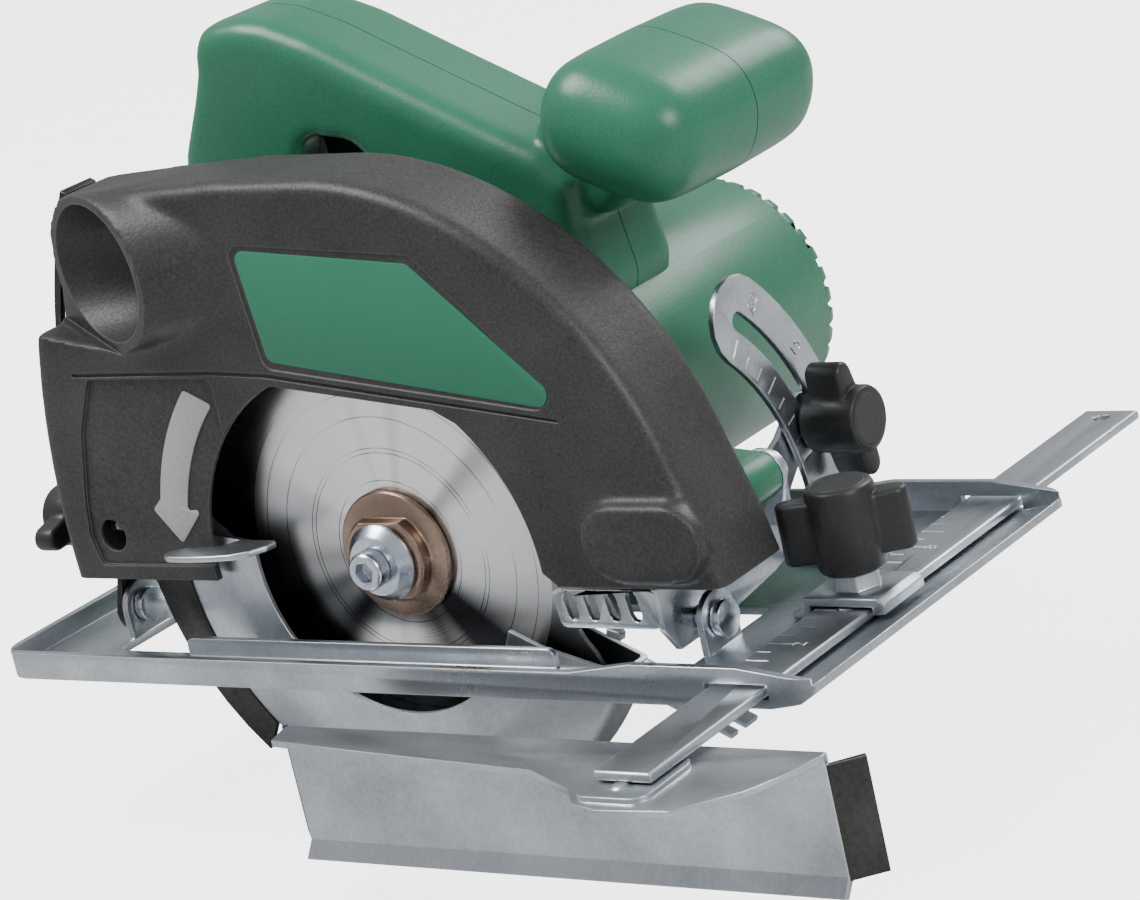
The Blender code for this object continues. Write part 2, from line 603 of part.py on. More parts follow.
def arrow_outline():
    """Arrow along the blade's way of turning, bent round the blade's axis."""
    points = arc(0, BLADE_Z, 65.6, 135, 164, 6) + [(-66.4, 40.2), (-59.3, 31.2), (-50.2, 40.2)]
    return points + arc(0, BLADE_Z, 57.0, 165, 132, 6)


place(prism(arrow_outline(), "Y", GUARD_Y[0] + 0.1, GUARD_Y[0] + 0.5), "direction_arrow", ARROW, depth_axis)


def riving_knife():
    """Curved splitter behind the blade, narrowing to its tip."""
    points = [(87.0 - 6.5 * i / 12) for i in range(13)]
    outer = []
    for i, radius in enumerate(points):
        angle = math.radians(152 + (223 - 152) * i / 12)
        outer.append((radius * math.cos(angle), BLADE_Z + radius * math.sin(angle)))
    inner = arc(0, BLADE_Z, 72.3, 221, 152, 12)
    hole = arc(KNIFE_X, KNIFE_Z, 2.3, 0, 330, 11)
    return prism(outer + inner, "Y", -0.9, 0.9, holes=[hole])


place(riving_knife(), "riving_knife", DARK_STEEL, depth_axis)


def screw_piece(axis, centre, head_low, head_high, head_r, shank_r, shank_to, sides=16):
    """Screw with a plain cylindrical head."""
    head = cylinder(head_r, axis, centre, head_low, head_high, sides)
    return add(head, cylinder(shank_r, axis, centre, *sorted((head_low + 0.4, shank_to)), 12))


knife_bolt = screw_piece("Y", (KNIFE_X, 0, KNIFE_Z), -3.4, -1.2, 4.2, 2.0, 15.5, 6)
place(knife_bolt, "knife_bolt", STEEL, depth_axis)
depth_bolt = add(cylinder(5.0, "X", (0, NUT_Y, NUT_Z), -97.0, -94.6, 6),
                 cylinder(3.0, "X", (0, NUT_Y, NUT_Z), -113.0, -96.0, 16))
place(depth_bolt, "depth_bolt", STEEL, depth_axis)
nut = wing_knob((-1, 0, 0), (0, NUT_Y, NUT_Z), 105.0, 106.5, 12.5, lean=80.0)
nut = cut(nut, cylinder(3.3, "X", (0, NUT_Y, NUT_Z), -114.5, -100, 16))
place(nut, "depth_wing_nut", BLACK, depth_nut_axis)


# ---------------------------------------------------------------- gear housing
def gearbox_outline(grow):
    """Two joined circles, round the gear and round the armature."""
    spindle = arc(0, BLADE_Z, 24.4 + grow, 160, 322, 10)
    armature = arc(ARM_AXIS_X, ARM_AXIS_Z, BARREL_R + grow, -32, 178, 16)
    return spindle + armature


def gear_housing():
    """Cup for the gears, with a nose for the spindle and a lug for the depth axis."""
    cup = prism(gearbox_outline(0), "Y", *GEARBOX_Y)
    arm = [(40, 27), (80, 27)] + arc(PIVOT_X, PIVOT_Z, 6.0, -90, 90, 8) + [(80, 40), (40, 50)]
    cup = add(cup, prism(arm, "Y", 17.2, 30.6))
    cup = add(cup, cylinder(NOSE_R, "Y", (0, 0, BLADE_Z), 4.4, 15, 32))
    cup = cut(cup, prism(gearbox_outline(-2.0), "Y", 16.4, 34))
    cup = cut(cup, cylinder(13.2, "Y", (0, 0, BLADE_Z), 7.6, 20, 32))
    cup = cut(cup, cylinder(9.6, "Y", (0, 0, BLADE_Z), 0, 12, 32))
    cup = cut(cup, cylinder(3.3, "Y", (PIVOT_X, 0, PIVOT_Z), 15, 33, 20))
    for x, z in GUARD_SCREWS:
        cup = cut(cup, cylinder(2.3, "Y", (x, 0, z), 13, 18, 12))
    return cup


place(gear_housing(), "gear_housing", GREEN, depth_axis)


def bearing_plate():
    """Cast plate across the gear housing that carries both shafts' bearings."""
    plate = prism(gearbox_outline(-2.4), "Y", 27.2, 32.2)
    plate = cut(plate, cylinder(9.8, "Y", (0, 0, BLADE_Z), 26, 34, 24))
    return cut(plate, cylinder(9.8, "Y", (ARM_AXIS_X, 0, ARM_AXIS_Z), 26, 34, 24))


place(bearing_plate(), "bearing_plate", STEEL, depth_axis)
for number, (x, z) in enumerate(GUARD_SCREWS, 1):
    one = screw_piece("Y", (x, 0, z), 8.2, 9.7, 3.6, 2.0, 17.5, 12)
    place(one, f"guard_screw_{number}", STEEL, depth_axis)

ring_clip = ring(22.3, 20.5, "Y", (0, 0, BLADE_Z), 4.7, 5.7, 24)
place(ring_clip, "guard_retaining_ring", STEEL, depth_axis)


# ---------------------------------------------------------------- shafts, gears and blade
def gear_outline(teeth):
    """Straight-sided teeth, a little thin for backlash."""
    pitch = MODULE * teeth / 2
    turn = 2 * math.pi / teeth
    root, tip = pitch - 1.25 * MODULE, pitch + 0.8 * MODULE
    points = []
    for i in range(teeth):
        middle = i * turn
        for radius, share in ((root, -0.33), (tip, -0.10), (tip, 0.10), (root, 0.33)):
            angle = middle + share * turn
            points.append((radius * math.cos(angle), radius * math.sin(angle)))
    return points


def gear(teeth, centre, low, high, bore, phase):
    spin = Matrix.Rotation(phase, 2)
    outline = [tuple(spin @ Vector(p)) for p in gear_outline(teeth)]
    outline = [(x + centre[0], z + centre[1]) for x, z in outline]
    hole = arc(*centre, bore, 0, 330, 11)
    return prism(outline, "Y", low, high, holes=[hole])


mesh_angle = math.atan2(ARM_AXIS_Z - BLADE_Z, ARM_AXIS_X)
drive_gear = gear(GEAR_TEETH, (0, BLADE_Z), 17.5, 25.5, 6.3, mesh_angle)
place(drive_gear, "drive_gear", STEEL, spindle_axis)
pinion_phase = mesh_angle + math.pi + math.pi / PINION_TEETH
pinion = gear(PINION_TEETH, (ARM_AXIS_X, ARM_AXIS_Z), 17.0, 26.0, 3.8, pinion_phase)
place(pinion, "pinion", STEEL, armature_axis)

spindle = turned([(0, 32.8), (4.9, 32.8), (4.9, 27.5), (6.0, 26.8), (6.0, 2.8), (4.6, 2.8), (4.6, -0.4),
                  (3.3, -0.4), (3.3, 13.0), (0, 14.5)], "Y", (0, 0, BLADE_Z), 24)
place(spindle, "spindle", STEEL, spindle_axis)
front_bearing = ring(12.9, 6.3, "Y", (0, 0, BLADE_Z), 8.0, 15.5, 20)
place(front_bearing, "spindle_front_bearing", STEEL, depth_axis)
rear_bearing = ring(9.5, 5.2, "Y", (0, 0, BLADE_Z), 27.6, 32.0, 24)
place(rear_bearing, "spindle_rear_bearing", STEEL, depth_axis)
inner_profile = [(15.5, 3.4), (15.5, 1.0), (7.7, 1.0), (7.7, -0.45), (4.9, -0.45), (4.9, 2.5), (6.3, 2.5)]
inner_profile += [(6.3, 7.2), (9.0, 7.2), (9.0, 3.4)]
inner_flange = turned(inner_profile, "Y", (0, 0, BLADE_Z), 24, ring=True)
place(inner_flange, "inner_flange", STEEL, spindle_axis)


def saw_blade():
    """Disc with raked carbide teeth and round gullets."""
    points = []
    turn = 360.0 / TEETH
    for i in range(TEETH):
        at = i * turn
        for drop, share in ((0.0, 0.0), (1.4, 0.22), (5.4, 0.55), (10.2, 0.66), (12.4, 0.80), (11.0, 0.93),
                            (6.0, 0.985)):
            points.append(arc(0, BLADE_Z, BLADE_R - drop, at + share * turn, at + share * turn, 1)[0])
    bore = arc(0, BLADE_Z, BLADE_BORE_R, 0, 345, 23)
    return prism(points, "Y", -BLADE_T / 2, BLADE_T / 2, holes=[bore])


place(saw_blade(), "saw_blade", STEEL, spindle_axis)
outer_flange = turned([(16.3, -1.0), (16.3, -2.6), (11.6, -3.4), (11.6, -7.0), (3.4, -7.0), (3.4, -1.0)],
                      "Y", (0, 0, BLADE_Z), 24, ring=True)
for way in (-1, 1):
    low, high = sorted((BLADE_Z + way * 9.6, BLADE_Z + way * 20))
    flat = box((-20, 20), (-9, -3.5), (low, high))
    outer_flange = cut(outer_flange, flat)
place(outer_flange, "outer_flange", BRONZE, spindle_axis)
washer = [(9.7, -7.3), (9.7, -8.2), (7.6, -10.6), (3.4, -10.6), (3.4, -7.3)]
washer = turned(washer, "Y", (0, 0, BLADE_Z), 24, ring=True)
place(washer, "blade_washer", ZINC, spindle_axis)
bolt = cylinder(4.9, "Y", (0, 0, BLADE_Z), -15.2, -10.9, 24)
bolt = add(bolt, cylinder(3.0, "Y", (0, 0, BLADE_Z), -11.5, 11, 16))
bolt = cut(bolt, cylinder(2.9, "Y", (0, 0, BLADE_Z), -16, -12.4, 6))
place(bolt, "blade_bolt", ZINC, spindle_axis)


# ---------------------------------------------------------------- armature and motor parts
ARM_AT = (ARM_AXIS_X, 0, ARM_AXIS_Z)
shaft = turned([(0, 124.0), (3.5, 124.0), (3.5, 117.0), (4.2, 116.5), (4.2, 33.0), (3.5, 32.5), (3.5, 16.8),
                (0, 16.8)], "Y", ARM_AT, 20)
place(shaft, "armature_shaft", STEEL, armature_axis)
core = turned([(18.6, 92), (18.6, 54), (4.5, 54), (4.5, 92)], "Y", ARM_AT, 20, ring=True)
place(core, "armature_core", CORE, armature_axis)
commutator = ring(11.0, 4.5, "Y", ARM_AT, 98.5, 113.0, 24)
place(commutator, "commutator", COPPER, armature_axis)


def fan():
    """Back plate with straight blades."""
    wheel = ring(28.5, 4.5, "Y", ARM_AT, 36.0, 37.6, 20)
    for i in range(9):
        angle = math.tau * i / 9
        blade = box((-8.5, 8.5), (37.3, 45.0), (-0.7, 0.7))
        spoke = Matrix.Rotation(angle, 4, "Y") @ Matrix.Translation(mm(19, 0, 0))
        blade.data.transform(Matrix.Translation(mm(*ARM_AT)) @ spoke)
        wheel = add(wheel, blade)
    return wheel


place(fan(), "cooling_fan", BLACK, armature_axis)
front_arm_bearing = ring(9.5, 3.8, "Y", ARM_AT, 27.6, 32.0, 24)
place(front_arm_bearing, "armature_front_bearing", STEEL, depth_axis)
rear_arm_bearing = ring(8.0, 3.8, "Y", ARM_AT, 118.0, 123.0, 24)
place(rear_arm_bearing, "armature_rear_bearing", STEEL, depth_axis)


def stator():
    """Stator ring with two pole faces close to the armature."""
    body = ring(31.6, 26.5, "Y", ARM_AT, 56, 90, 24)
    for side in (-1, 1):
        pole = box((-13, 13), (56, 90), tuple(sorted((side * 15, side * 28))))
        pole.data.transform(Matrix.Translation(mm(*ARM_AT)))
        body = add(body, pole)
    return cut(body, cylinder(19.2, "Y", ARM_AT, 50, 95, 24))


place(stator(), "stator", CORE, depth_axis)
for side, name in ((-1, "left"), (1, "right")):
    inner, outer = ARM_AXIS_X + side * 11.4, ARM_AXIS_X + side * 22.0
    carbon = box(tuple(sorted((inner, outer))), (102.5, 109.0), (ARM_AXIS_Z - 3, ARM_AXIS_Z + 3))
    place(carbon, f"carbon_brush_{name}", CARBON, depth_axis)
    near_x, far_x = ARM_AXIS_X + side * 13.5, ARM_AXIS_X + side * 31.0
    sleeve = box(tuple(sorted((near_x, far_x))), (100.6, 110.9), (ARM_AXIS_Z - 5, ARM_AXIS_Z + 5))
    hollow_x = tuple(sorted((near_x - side * 2, far_x - side * 1.5)))
    hollow = box(hollow_x, (102.2, 109.3), (ARM_AXIS_Z - 3.3, ARM_AXIS_Z + 3.3))
    place(cut(sleeve, hollow), f"brush_holder_{name}", CORE, depth_axis)


# ---------------------------------------------------------------- grip and motor housing
def grip_outline():
    """Side view of the grip with its front root."""
    top = [(-81, 60), (-84, 92), (-80, 115), (-70, 131), (-66, 140), (-63, 147), (-55, 150.5), (-43, 149.5)]
    top += [(-28, 143), (-8, 132.5), (19, 118.5), (34, 111.5), (42.5, 104)]
    root = [(43, 90), (44, 74), (38, 58), (-30, 53), (-70, 50), (-80, 53)]
    return top + root


def grip_hole():
    """Finger opening of the grip."""
    corners = [(-38, 120), (-22, 117), (-10, 103), (-6, 90), (-22, 86), (-52, 78), (-58, 84), (-45, 103)]
    return filleted(corners, 6.0, 3)


def knob_form():
    """Pillow-shaped front knob: a coarse cage, subdivided, on a tapered neck."""
    work = bmesh.new()
    bmesh.ops.create_cube(work, size=1.0)
    bmesh.ops.scale(work, vec=mm(56, 92, 36), verts=work.verts)
    mesh = bpy.data.meshes.new("knob")
    work.to_mesh(mesh)
    work.free()
    cage = wrap(mesh)
    sub = cage.modifiers.new("soft", "SUBSURF")
    sub.levels = 2
    sub.render_levels = 2
    cage.matrix_world = Matrix.Translation(mm(66, SEAM_Y, 117)) @ Matrix.Rotation(math.radians(20), 4, "Y")
    return bake(cage)


def grip_body():
    """The whole grip with the knob, before it is split at the seam."""
    body = prism(grip_outline(), "Y", SEAM_Y - GRIP_HALF, SEAM_Y + GRIP_HALF, holes=[grip_hole()])
    body = soften(body, 4.5, 2, 50)
    neck = filleted([(34, 96), (46, 92), (66, 104), (60, 120), (30, 118)], 4.0, 3)
    neck = prism(neck, "Y", SEAM_Y - 13, SEAM_Y + 13)
    body = add(body, soften(neck, 4.0, 2, 50), solver="MANIFOLD")
    body = add(body, knob_form(), solver="MANIFOLD")
    pocket = [(-58, 96), (-40, 96), (-28, 112), (-28, 124), (-58, 136)]
    pocket = prism(pocket, "Y", SEAM_Y - 9.3, SEAM_Y + 9.3)
    body = cut(body, pocket, solver="MANIFOLD")
    socket = cylinder(7.3, "X", (0, SEAM_Y, INLET_Z), -95, -74, 16)
    return cut(body, socket, solver="MANIFOLD")


def barrel(radius, low, high):
    return cylinder(radius, "Y", ARM_AT, low, high, 36)


def split_half(side):
    """One half of the grip: side -1 is the blade side, +1 the motor side."""
    body = grip_body()
    if side < 0:
        away = box((-200, 200), (SEAM_Y - GAP / 2, 200), (-50, 250))
    else:
        away = box((-200, 200), (-100, SEAM_Y + GAP / 2), (-50, 250))
    return cut(body, away, solver="MANIFOLD")


near_half = cut(split_half(-1), barrel(BARREL_R + GAP, 30, 130), solver="MANIFOLD")
place(near_half, "grip_shell", GREEN, depth_axis, 50)


def motor_housing():
    """Motor barrel in one piece with the far half of the grip and the knob."""
    far = split_half(1)
    far = add(far, barrel(BARREL_R, *BARREL_Y), solver="MANIFOLD")
    far = cut(far, barrel(BARREL_R - BARREL_WALL, BARREL_Y[0] - 1, BARREL_Y[1] + 1), solver="MANIFOLD")
    far = cut(far, cylinder(5.3, "Y", (BUTTON_X, 0, BUTTON_Z), SEAM_Y + 5, 100, 16), solver="MANIFOLD")
    for x, z in GRIP_SCREWS:
        far = cut(far, cylinder(4.0, "Y", (x, 0, z), SEAM_Y + GRIP_HALF - 3, 110, 16), solver="MANIFOLD")
        far = cut(far, cylinder(2.3, "Y", (x, 0, z), SEAM_Y - 2, 100, 12), solver="MANIFOLD")
    return far


GRIP_SCREWS = [(-70.0, 100.0), (-2.0, 118.0), (-66.0, 64.0)]
place(motor_housing(), "motor_housing", GREEN, depth_axis, 50)
for number, (x, z) in enumerate(GRIP_SCREWS, 1):
    one = cylinder(3.6, "Y", (x, 0, z), SEAM_Y + GRIP_HALF - 2.7, SEAM_Y + GRIP_HALF - 0.6, 12)
    one = add(one, cylinder(2.0, "Y", (x, 0, z), SEAM_Y + 0.5, SEAM_Y + GRIP_HALF - 2.5, 12))
    place(one, f"grip_screw_{number}", STEEL, depth_axis)


def end_cap():
    """Motor end with ribs between cooling slots."""
    low, high = END_CAP_Y
    profile = [(0, high), (25, high), (30.5, high - 2), (32.5, high - 5), (32.5, low)]
    profile += [(29.5, low), (29.5, low + 2.2), (26, 128.6), (12.3, 128.6)]
    profile += [(12.3, 117.5), (8.3, 117.5), (8.3, 124.5), (0, 124.5)]
    cap = turned(profile, "Y", ARM_AT, 28)
    for i in range(12):
        angle = math.tau * (i + 0.5) / 12
        slot = box((-3.2, 3.2), (122, 134), (-1.6, 1.6))
        spoke = Matrix.Rotation(angle, 4, "Y") @ Matrix.Translation(mm(20.5, 0, 0))
        slot.data.transform(Matrix.Translation(mm(*ARM_AT)) @ spoke)
        cap = cut(cap, slot)
    return cap


place(end_cap(), "motor_end_cap", GREEN, depth_axis)


def trigger():
    """Finger lever, pivoted at its top behind the finger opening."""
    shape = arc(TRIGGER_X, TRIGGER_Z, 3.6, 100, 240, 5)
    shape += [(-39, 99), (-31, 97.5), (-27.5, 102), (-27, 108), (-23, 112.5), (-24.5, 115.3), (-30.5, 116.6),
              (-31.5, 121.5)]
    lever = prism(filleted(shape, 1.2, 2), "Y", SEAM_Y - 7.2, SEAM_Y + 7.2)
    return cut(lever, cylinder(1.9, "Y", (TRIGGER_X, 0, TRIGGER_Z), SEAM_Y - 10, SEAM_Y + 10, 12))


place(trigger(), "trigger", BLACK, trigger_axis)
trigger_pin = cylinder(1.6, "Y", (TRIGGER_X, 0, TRIGGER_Z), SEAM_Y - 9, SEAM_Y + 9, 12)
place(trigger_pin, "trigger_pin", STEEL, depth_axis)
switch_block = box((-57.3, -46.5), (SEAM_Y - 7, SEAM_Y + 7), (97, 121))
place(soften(switch_block, 0.8, 1, 50), "switch_block", BLACK, depth_axis)
button = [(0, 82.2), (3.6, 82.2), (4.6, 81.2), (4.6, 73.0), (0, 73.0)]
button = turned(button, "Y", (BUTTON_X, 0, BUTTON_Z), 16)
place(button, "lock_off_button", BLACK, button_axis)


# ---------------------------------------------------------------- lower guard
GUARD_FRONT = -25.0
GUARD_TOP = 172.0


def lower_guard():
    """Swinging guard: dished near wall, rim over the teeth, far wall with a hub ring."""
    profile = [(39, -9.4), (49, -9.4), (67.2, -5.0), (68.6, -3.6), (68.6, 7.2), (20.5, 7.2), (20.5, 6.0)]
    profile += [(67.3, 6.0), (67.3, -3.1), (66.6, -3.9), (48.8, -8.2), (39, -8.2)]
    shell = turned(profile, "Y", (0, 0, BLADE_Z), 40, ring=True)
    away = arc(0, BLADE_Z, 28.0, GUARD_TOP, GUARD_FRONT, 16)
    away += arc(0, BLADE_Z, 90.0, GUARD_FRONT, GUARD_TOP, 10)
    shell = cut(shell, prism(away, "Y", -20, 20))
    skid_turn = math.radians(GUARD_FRONT - 0.9)
    skid = box((67.9, 100.0), (-4.6, 6.8), (-0.7, 0.7))
    skid.data.transform(Matrix.Translation(mm(0, 0, BLADE_Z)) @ Matrix.Rotation(-skid_turn, 4, "Y"))
    shell = add(shell, skid)
    slit = box((71.5, 101.0), (-1.6, 1.6), (-2, 2))
    slit.data.transform(Matrix.Translation(mm(0, 0, BLADE_Z)) @ Matrix.Rotation(-skid_turn, 4, "Y"))
    shell = cut(shell, slit)
    pad = [(-43.6, -8.8), (-30.5, -8.8), (-31.5, -14.0), (-38, -19.5), (-52, -21.2), (-60, -20.4)]
    pad += [(-60.5, -17), (-53, -14.4), (-43.6, -14.2)]
    lever = prism(filleted(pad, 1.5, 2), "Z", 29.4, 31.0)
    return add(shell, lever)


place(lower_guard(), "lower_guard", ZINC, guard_axis)


def return_spring():
    """Two turns of wire round the spindle nose."""
    curve = bpy.data.curves.new("spring", "CURVE")
    curve.dimensions = "3D"
    curve.bevel_depth = mm(0.45)
    curve.bevel_resolution = 2
    curve.use_fill_caps = True
    spline = curve.splines.new("POLY")
    count = 32
    spline.points.add(count)
    for i, point in enumerate(spline.points):
        angle = math.radians(200) + math.tau * 1.8 * i / count
        place = mm(22.3 * math.cos(angle), 8.0 + 1.3 * i / count, BLADE_Z + 22.3 * math.sin(angle))
        point.co = (*place, 1.0)
    piece = bpy.data.objects.new("spring", curve)
    saw.objects.link(piece)
    return bake(piece)


place(return_spring(), "guard_return_spring", STEEL, depth_axis)
inlet = turned([(7.0, -75.0), (7.0, -86.0), (5.6, -90.0), (4.2, -90.0), (4.2, -75.0)][::-1], "X",
               (0, SEAM_Y, INLET_Z), 16, ring=True)
place(inlet, "cable_inlet", RUBBER, depth_axis)
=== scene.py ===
# %% [markdown]
# # A small circular saw
# The imported model gives every part's size, place and joint.  This lesson models the parts that
# can be seen, one short cell at a time, and gives each one its finish.
# First the frame is loaded and its box is kept.
# %% Load the frame
import json
import math

import bmesh
import bpy
from mathutils import Matrix, Vector

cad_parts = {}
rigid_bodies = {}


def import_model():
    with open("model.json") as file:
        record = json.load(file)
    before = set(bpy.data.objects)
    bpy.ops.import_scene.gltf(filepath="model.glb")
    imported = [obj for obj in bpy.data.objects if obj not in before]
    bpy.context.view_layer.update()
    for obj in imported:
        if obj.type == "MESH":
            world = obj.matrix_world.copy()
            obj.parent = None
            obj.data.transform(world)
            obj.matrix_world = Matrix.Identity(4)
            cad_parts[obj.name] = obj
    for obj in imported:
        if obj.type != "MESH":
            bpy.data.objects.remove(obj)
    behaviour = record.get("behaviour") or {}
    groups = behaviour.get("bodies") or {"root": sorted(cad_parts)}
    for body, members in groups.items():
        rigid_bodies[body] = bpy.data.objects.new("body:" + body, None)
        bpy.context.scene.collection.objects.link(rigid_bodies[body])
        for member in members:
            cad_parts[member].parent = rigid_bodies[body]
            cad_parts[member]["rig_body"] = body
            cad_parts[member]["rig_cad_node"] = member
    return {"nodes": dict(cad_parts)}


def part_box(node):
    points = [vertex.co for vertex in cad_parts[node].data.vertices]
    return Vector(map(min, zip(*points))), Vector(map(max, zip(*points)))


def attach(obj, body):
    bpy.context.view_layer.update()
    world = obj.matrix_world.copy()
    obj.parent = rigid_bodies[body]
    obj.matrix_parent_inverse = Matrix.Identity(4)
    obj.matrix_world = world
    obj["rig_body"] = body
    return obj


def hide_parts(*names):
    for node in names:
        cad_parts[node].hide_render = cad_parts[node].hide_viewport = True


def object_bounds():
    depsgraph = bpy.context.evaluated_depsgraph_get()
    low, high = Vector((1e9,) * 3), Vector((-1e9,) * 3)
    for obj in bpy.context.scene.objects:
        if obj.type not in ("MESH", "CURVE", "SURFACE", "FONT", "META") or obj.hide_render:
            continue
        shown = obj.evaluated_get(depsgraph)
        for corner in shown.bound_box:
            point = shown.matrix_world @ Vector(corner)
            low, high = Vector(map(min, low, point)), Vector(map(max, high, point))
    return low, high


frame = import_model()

cad_box = [list(corner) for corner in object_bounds()]

# %% [markdown]
# ## Working units
# The saw is drawn in millimetres from the blade's own plane: x forward, y towards the motor,
# z up from the sole.  `at` turns such a place into the model's metres.  The blade's node says
# where its plane and its axis are, so nothing has to be fitted by eye.
# %% Units and the blade's place
MM = 0.001
blade_low, blade_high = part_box("saw_blade")
BLADE_PLANE = (blade_low.y + blade_high.y) / 2
BLADE_Z = (blade_low.z + blade_high.z) / 2 / MM
BLADE_R = (blade_high.x - blade_low.x) / 2 / MM


def at(x, y, z):
    """A place in millimetres from the blade's plane, as a point in metres."""
    return Vector((x * MM, BLADE_PLANE + y * MM, z * MM))


print("blade radius", round(BLADE_R, 1), "axis height", round(BLADE_Z, 1))

# %% [markdown]
# ## The camera
# A long lens from the front left and a little above, rolled to one side, as product pictures
# often are.  The three directions are the camera's own axes, so the matrix is built from them.
# The camera comes first because every later choice is judged through it.
# %% Camera
RIGHT = Vector((0.7966, 0.5652, -0.2146))
UP = Vector((0.0063, 0.3472, 0.9378))
BACK = RIGHT.cross(UP).normalized()
UP = BACK.cross(RIGHT).normalized()
RIGHT.normalize()
bpy.ops.object.select_all(action="DESELECT")
bpy.ops.object.camera_add(location=at(600.5, -671.2, 295.5))
camera = bpy.context.object
turn = Matrix((RIGHT, UP, BACK)).transposed().to_4x4()
camera.matrix_world = Matrix.Translation(camera.location) @ turn
camera.data.sensor_width = 36.0
camera.data.lens = 122.05
camera.data.clip_start = 0.01
bpy.context.scene.camera = camera
print("camera", [round(v, 3) for v in camera.location])

# %% [markdown]
# ## Floor and light
# A floor just under the lowest part, a pale sky, one large soft light from above the left and
# two weaker ones.  Large lights give plastic its long soft highlights and metal something
# broad to mirror.  The floor glows only where it is seen directly, so that it looks white
# behind the saw and still doesn't wash out the saw's own surfaces.
# %% Floor, sky and lights
floor_z = cad_box[0][2] - 0.0002
bpy.ops.mesh.primitive_plane_add(size=12.0, location=(0, 0, floor_z))
floor = bpy.context.object
floor.name = "floor"
paint = bpy.data.materials.new("pale_floor")
paint.use_nodes = True
nodes, links = paint.node_tree.nodes, paint.node_tree.links
surface = nodes["Principled BSDF"].inputs
surface["Base Color"].default_value = (0.50, 0.50, 0.50, 1)
surface["Roughness"].default_value = 0.6
surface["Emission Color"].default_value = (1.0, 1.0, 1.0, 1)
glow = nodes.new("ShaderNodeMath")
glow.operation = "MULTIPLY"
glow.inputs[1].default_value = 3.4
links.new(nodes.new("ShaderNodeLightPath").outputs["Is Camera Ray"], glow.inputs[0])
links.new(glow.outputs[0], surface["Emission Strength"])
floor.data.materials.append(paint)

world = bpy.data.worlds.new("studio")
bpy.context.scene.world = world
world.use_nodes = True
sky = world.node_tree.nodes["Background"].inputs
sky["Color"].default_value = (0.93, 0.95, 1.0, 1)
sky["Strength"].default_value = 0.55


def softbox(name, place, size, power):
    """A square area light that faces the saw."""
    bpy.ops.object.light_add(type="AREA", location=place)
    light = bpy.context.object
    light.name = name
    light.data.size = size
    light.data.energy = power
    aim = Vector((0.0, 0.05, 0.06)) - light.location
    light.rotation_euler = aim.to_track_quat("-Z", "Y").to_euler()
    return light


softbox("key_light", (-0.55, -0.35, 1.2), 0.6, 20.0)
softbox("front_light", (1.15, -0.25, 0.7), 0.5, 10.0)
softbox("back_light", (0.25, 1.2, 0.9), 0.7, 11.0)
print("floor at", round(floor_z, 4))

# %% [markdown]
# ## Tools: one piece at a time
# Operators act on whatever is selected, so every tool starts by selecting one piece only.
# %% Select, apply, edit
def only(*pieces):
    """Select these pieces and no others; the first one is active."""
    bpy.ops.object.select_all(action="DESELECT")
    for piece in pieces:
        piece.select_set(True)
    bpy.context.view_layer.objects.active = pieces[0]


def settle(piece):
    """Put the object's own placement into its mesh."""
    only(piece)
    bpy.ops.object.transform_apply(location=True, rotation=True, scale=True)
    return piece


def start_edit(piece):
    """Go into edit mode with all of one piece's mesh selected."""
    only(piece)
    bpy.ops.object.mode_set(mode="EDIT")
    bpy.ops.mesh.select_all(action="SELECT")


def end_edit():
    """Weld coincident points, turn all faces outwards and leave edit mode."""
    bpy.ops.mesh.select_all(action="SELECT")
    bpy.ops.mesh.remove_doubles(threshold=1e-6)
    bpy.ops.mesh.normals_make_consistent(inside=False)
    bpy.ops.object.mode_set(mode="OBJECT")


def turn_about(piece, centre, degrees, axis):
    """Turn a piece about an axis through a point in mm, and settle it."""
    pivot = Matrix.Translation(at(*centre))
    turn = Matrix.Rotation(math.radians(degrees), 4, axis)
    piece.matrix_world = pivot @ turn @ pivot.inverted() @ piece.matrix_world
    return settle(piece)


def modify(piece, kind, **settings):
    """Add a modifier, set it and apply it."""
    only(piece)
    bpy.ops.object.modifier_add(type=kind)
    step = piece.modifiers[-1]
    for name, value in settings.items():
        setattr(step, name, value)
    bpy.ops.object.modifier_apply(modifier=step.name)
    return piece


# %% [markdown]
# ## Tools: outlines
# A sheet or a moulding starts as an outline.  By hand this is one vertex extruded from corner
# to corner and filled.  The same is done here: a tiny plane is merged to a point, extruded
# along the list, closed and filled.  Arcs and rounded corners are worked out by formula.
# %% Outlines
def arc(cx, cz, radius, start, stop, count):
    """Points along an arc; angles in degrees."""
    steps = [math.radians(start + (stop - start) * i / count) for i in range(count + 1)]
    return [(cx + radius * math.cos(a), cz + radius * math.sin(a)) for a in steps]


def rounded(corners, radius, count=6):
    """The same outline with every corner rounded."""
    points = []
    for i, corner in enumerate(corners):
        here = Vector(corner)
        back = Vector(corners[i - 1]) - here
        ahead = Vector(corners[(i + 1) % len(corners)]) - here
        half = back.angle(ahead) / 2
        if half > 1.5:
            points.append(tuple(here))
            continue
        reach = min(radius / math.tan(half), back.length * 0.49, ahead.length * 0.49)
        size = reach * math.tan(half)
        back.normalize()
        ahead.normalize()
        middle = here + (back + ahead).normalized() * size / math.sin(half)
        first = here + back * reach - middle
        sweep = first.angle_signed(here + ahead * reach - middle)
        for k in range(count + 1):
            points.append(tuple(middle + Matrix.Rotation(-sweep * k / count, 2) @ first))
    return points


def capsule(ax, az, bx, bz, radius, count=8):
    """Outline of a slot from one centre to the other."""
    lean = math.degrees(math.atan2(bz - az, bx - ax))
    first = arc(ax, az, radius, lean + 90, lean + 270, count)
    return first + arc(bx, bz, radius, lean - 90, lean + 90, count)


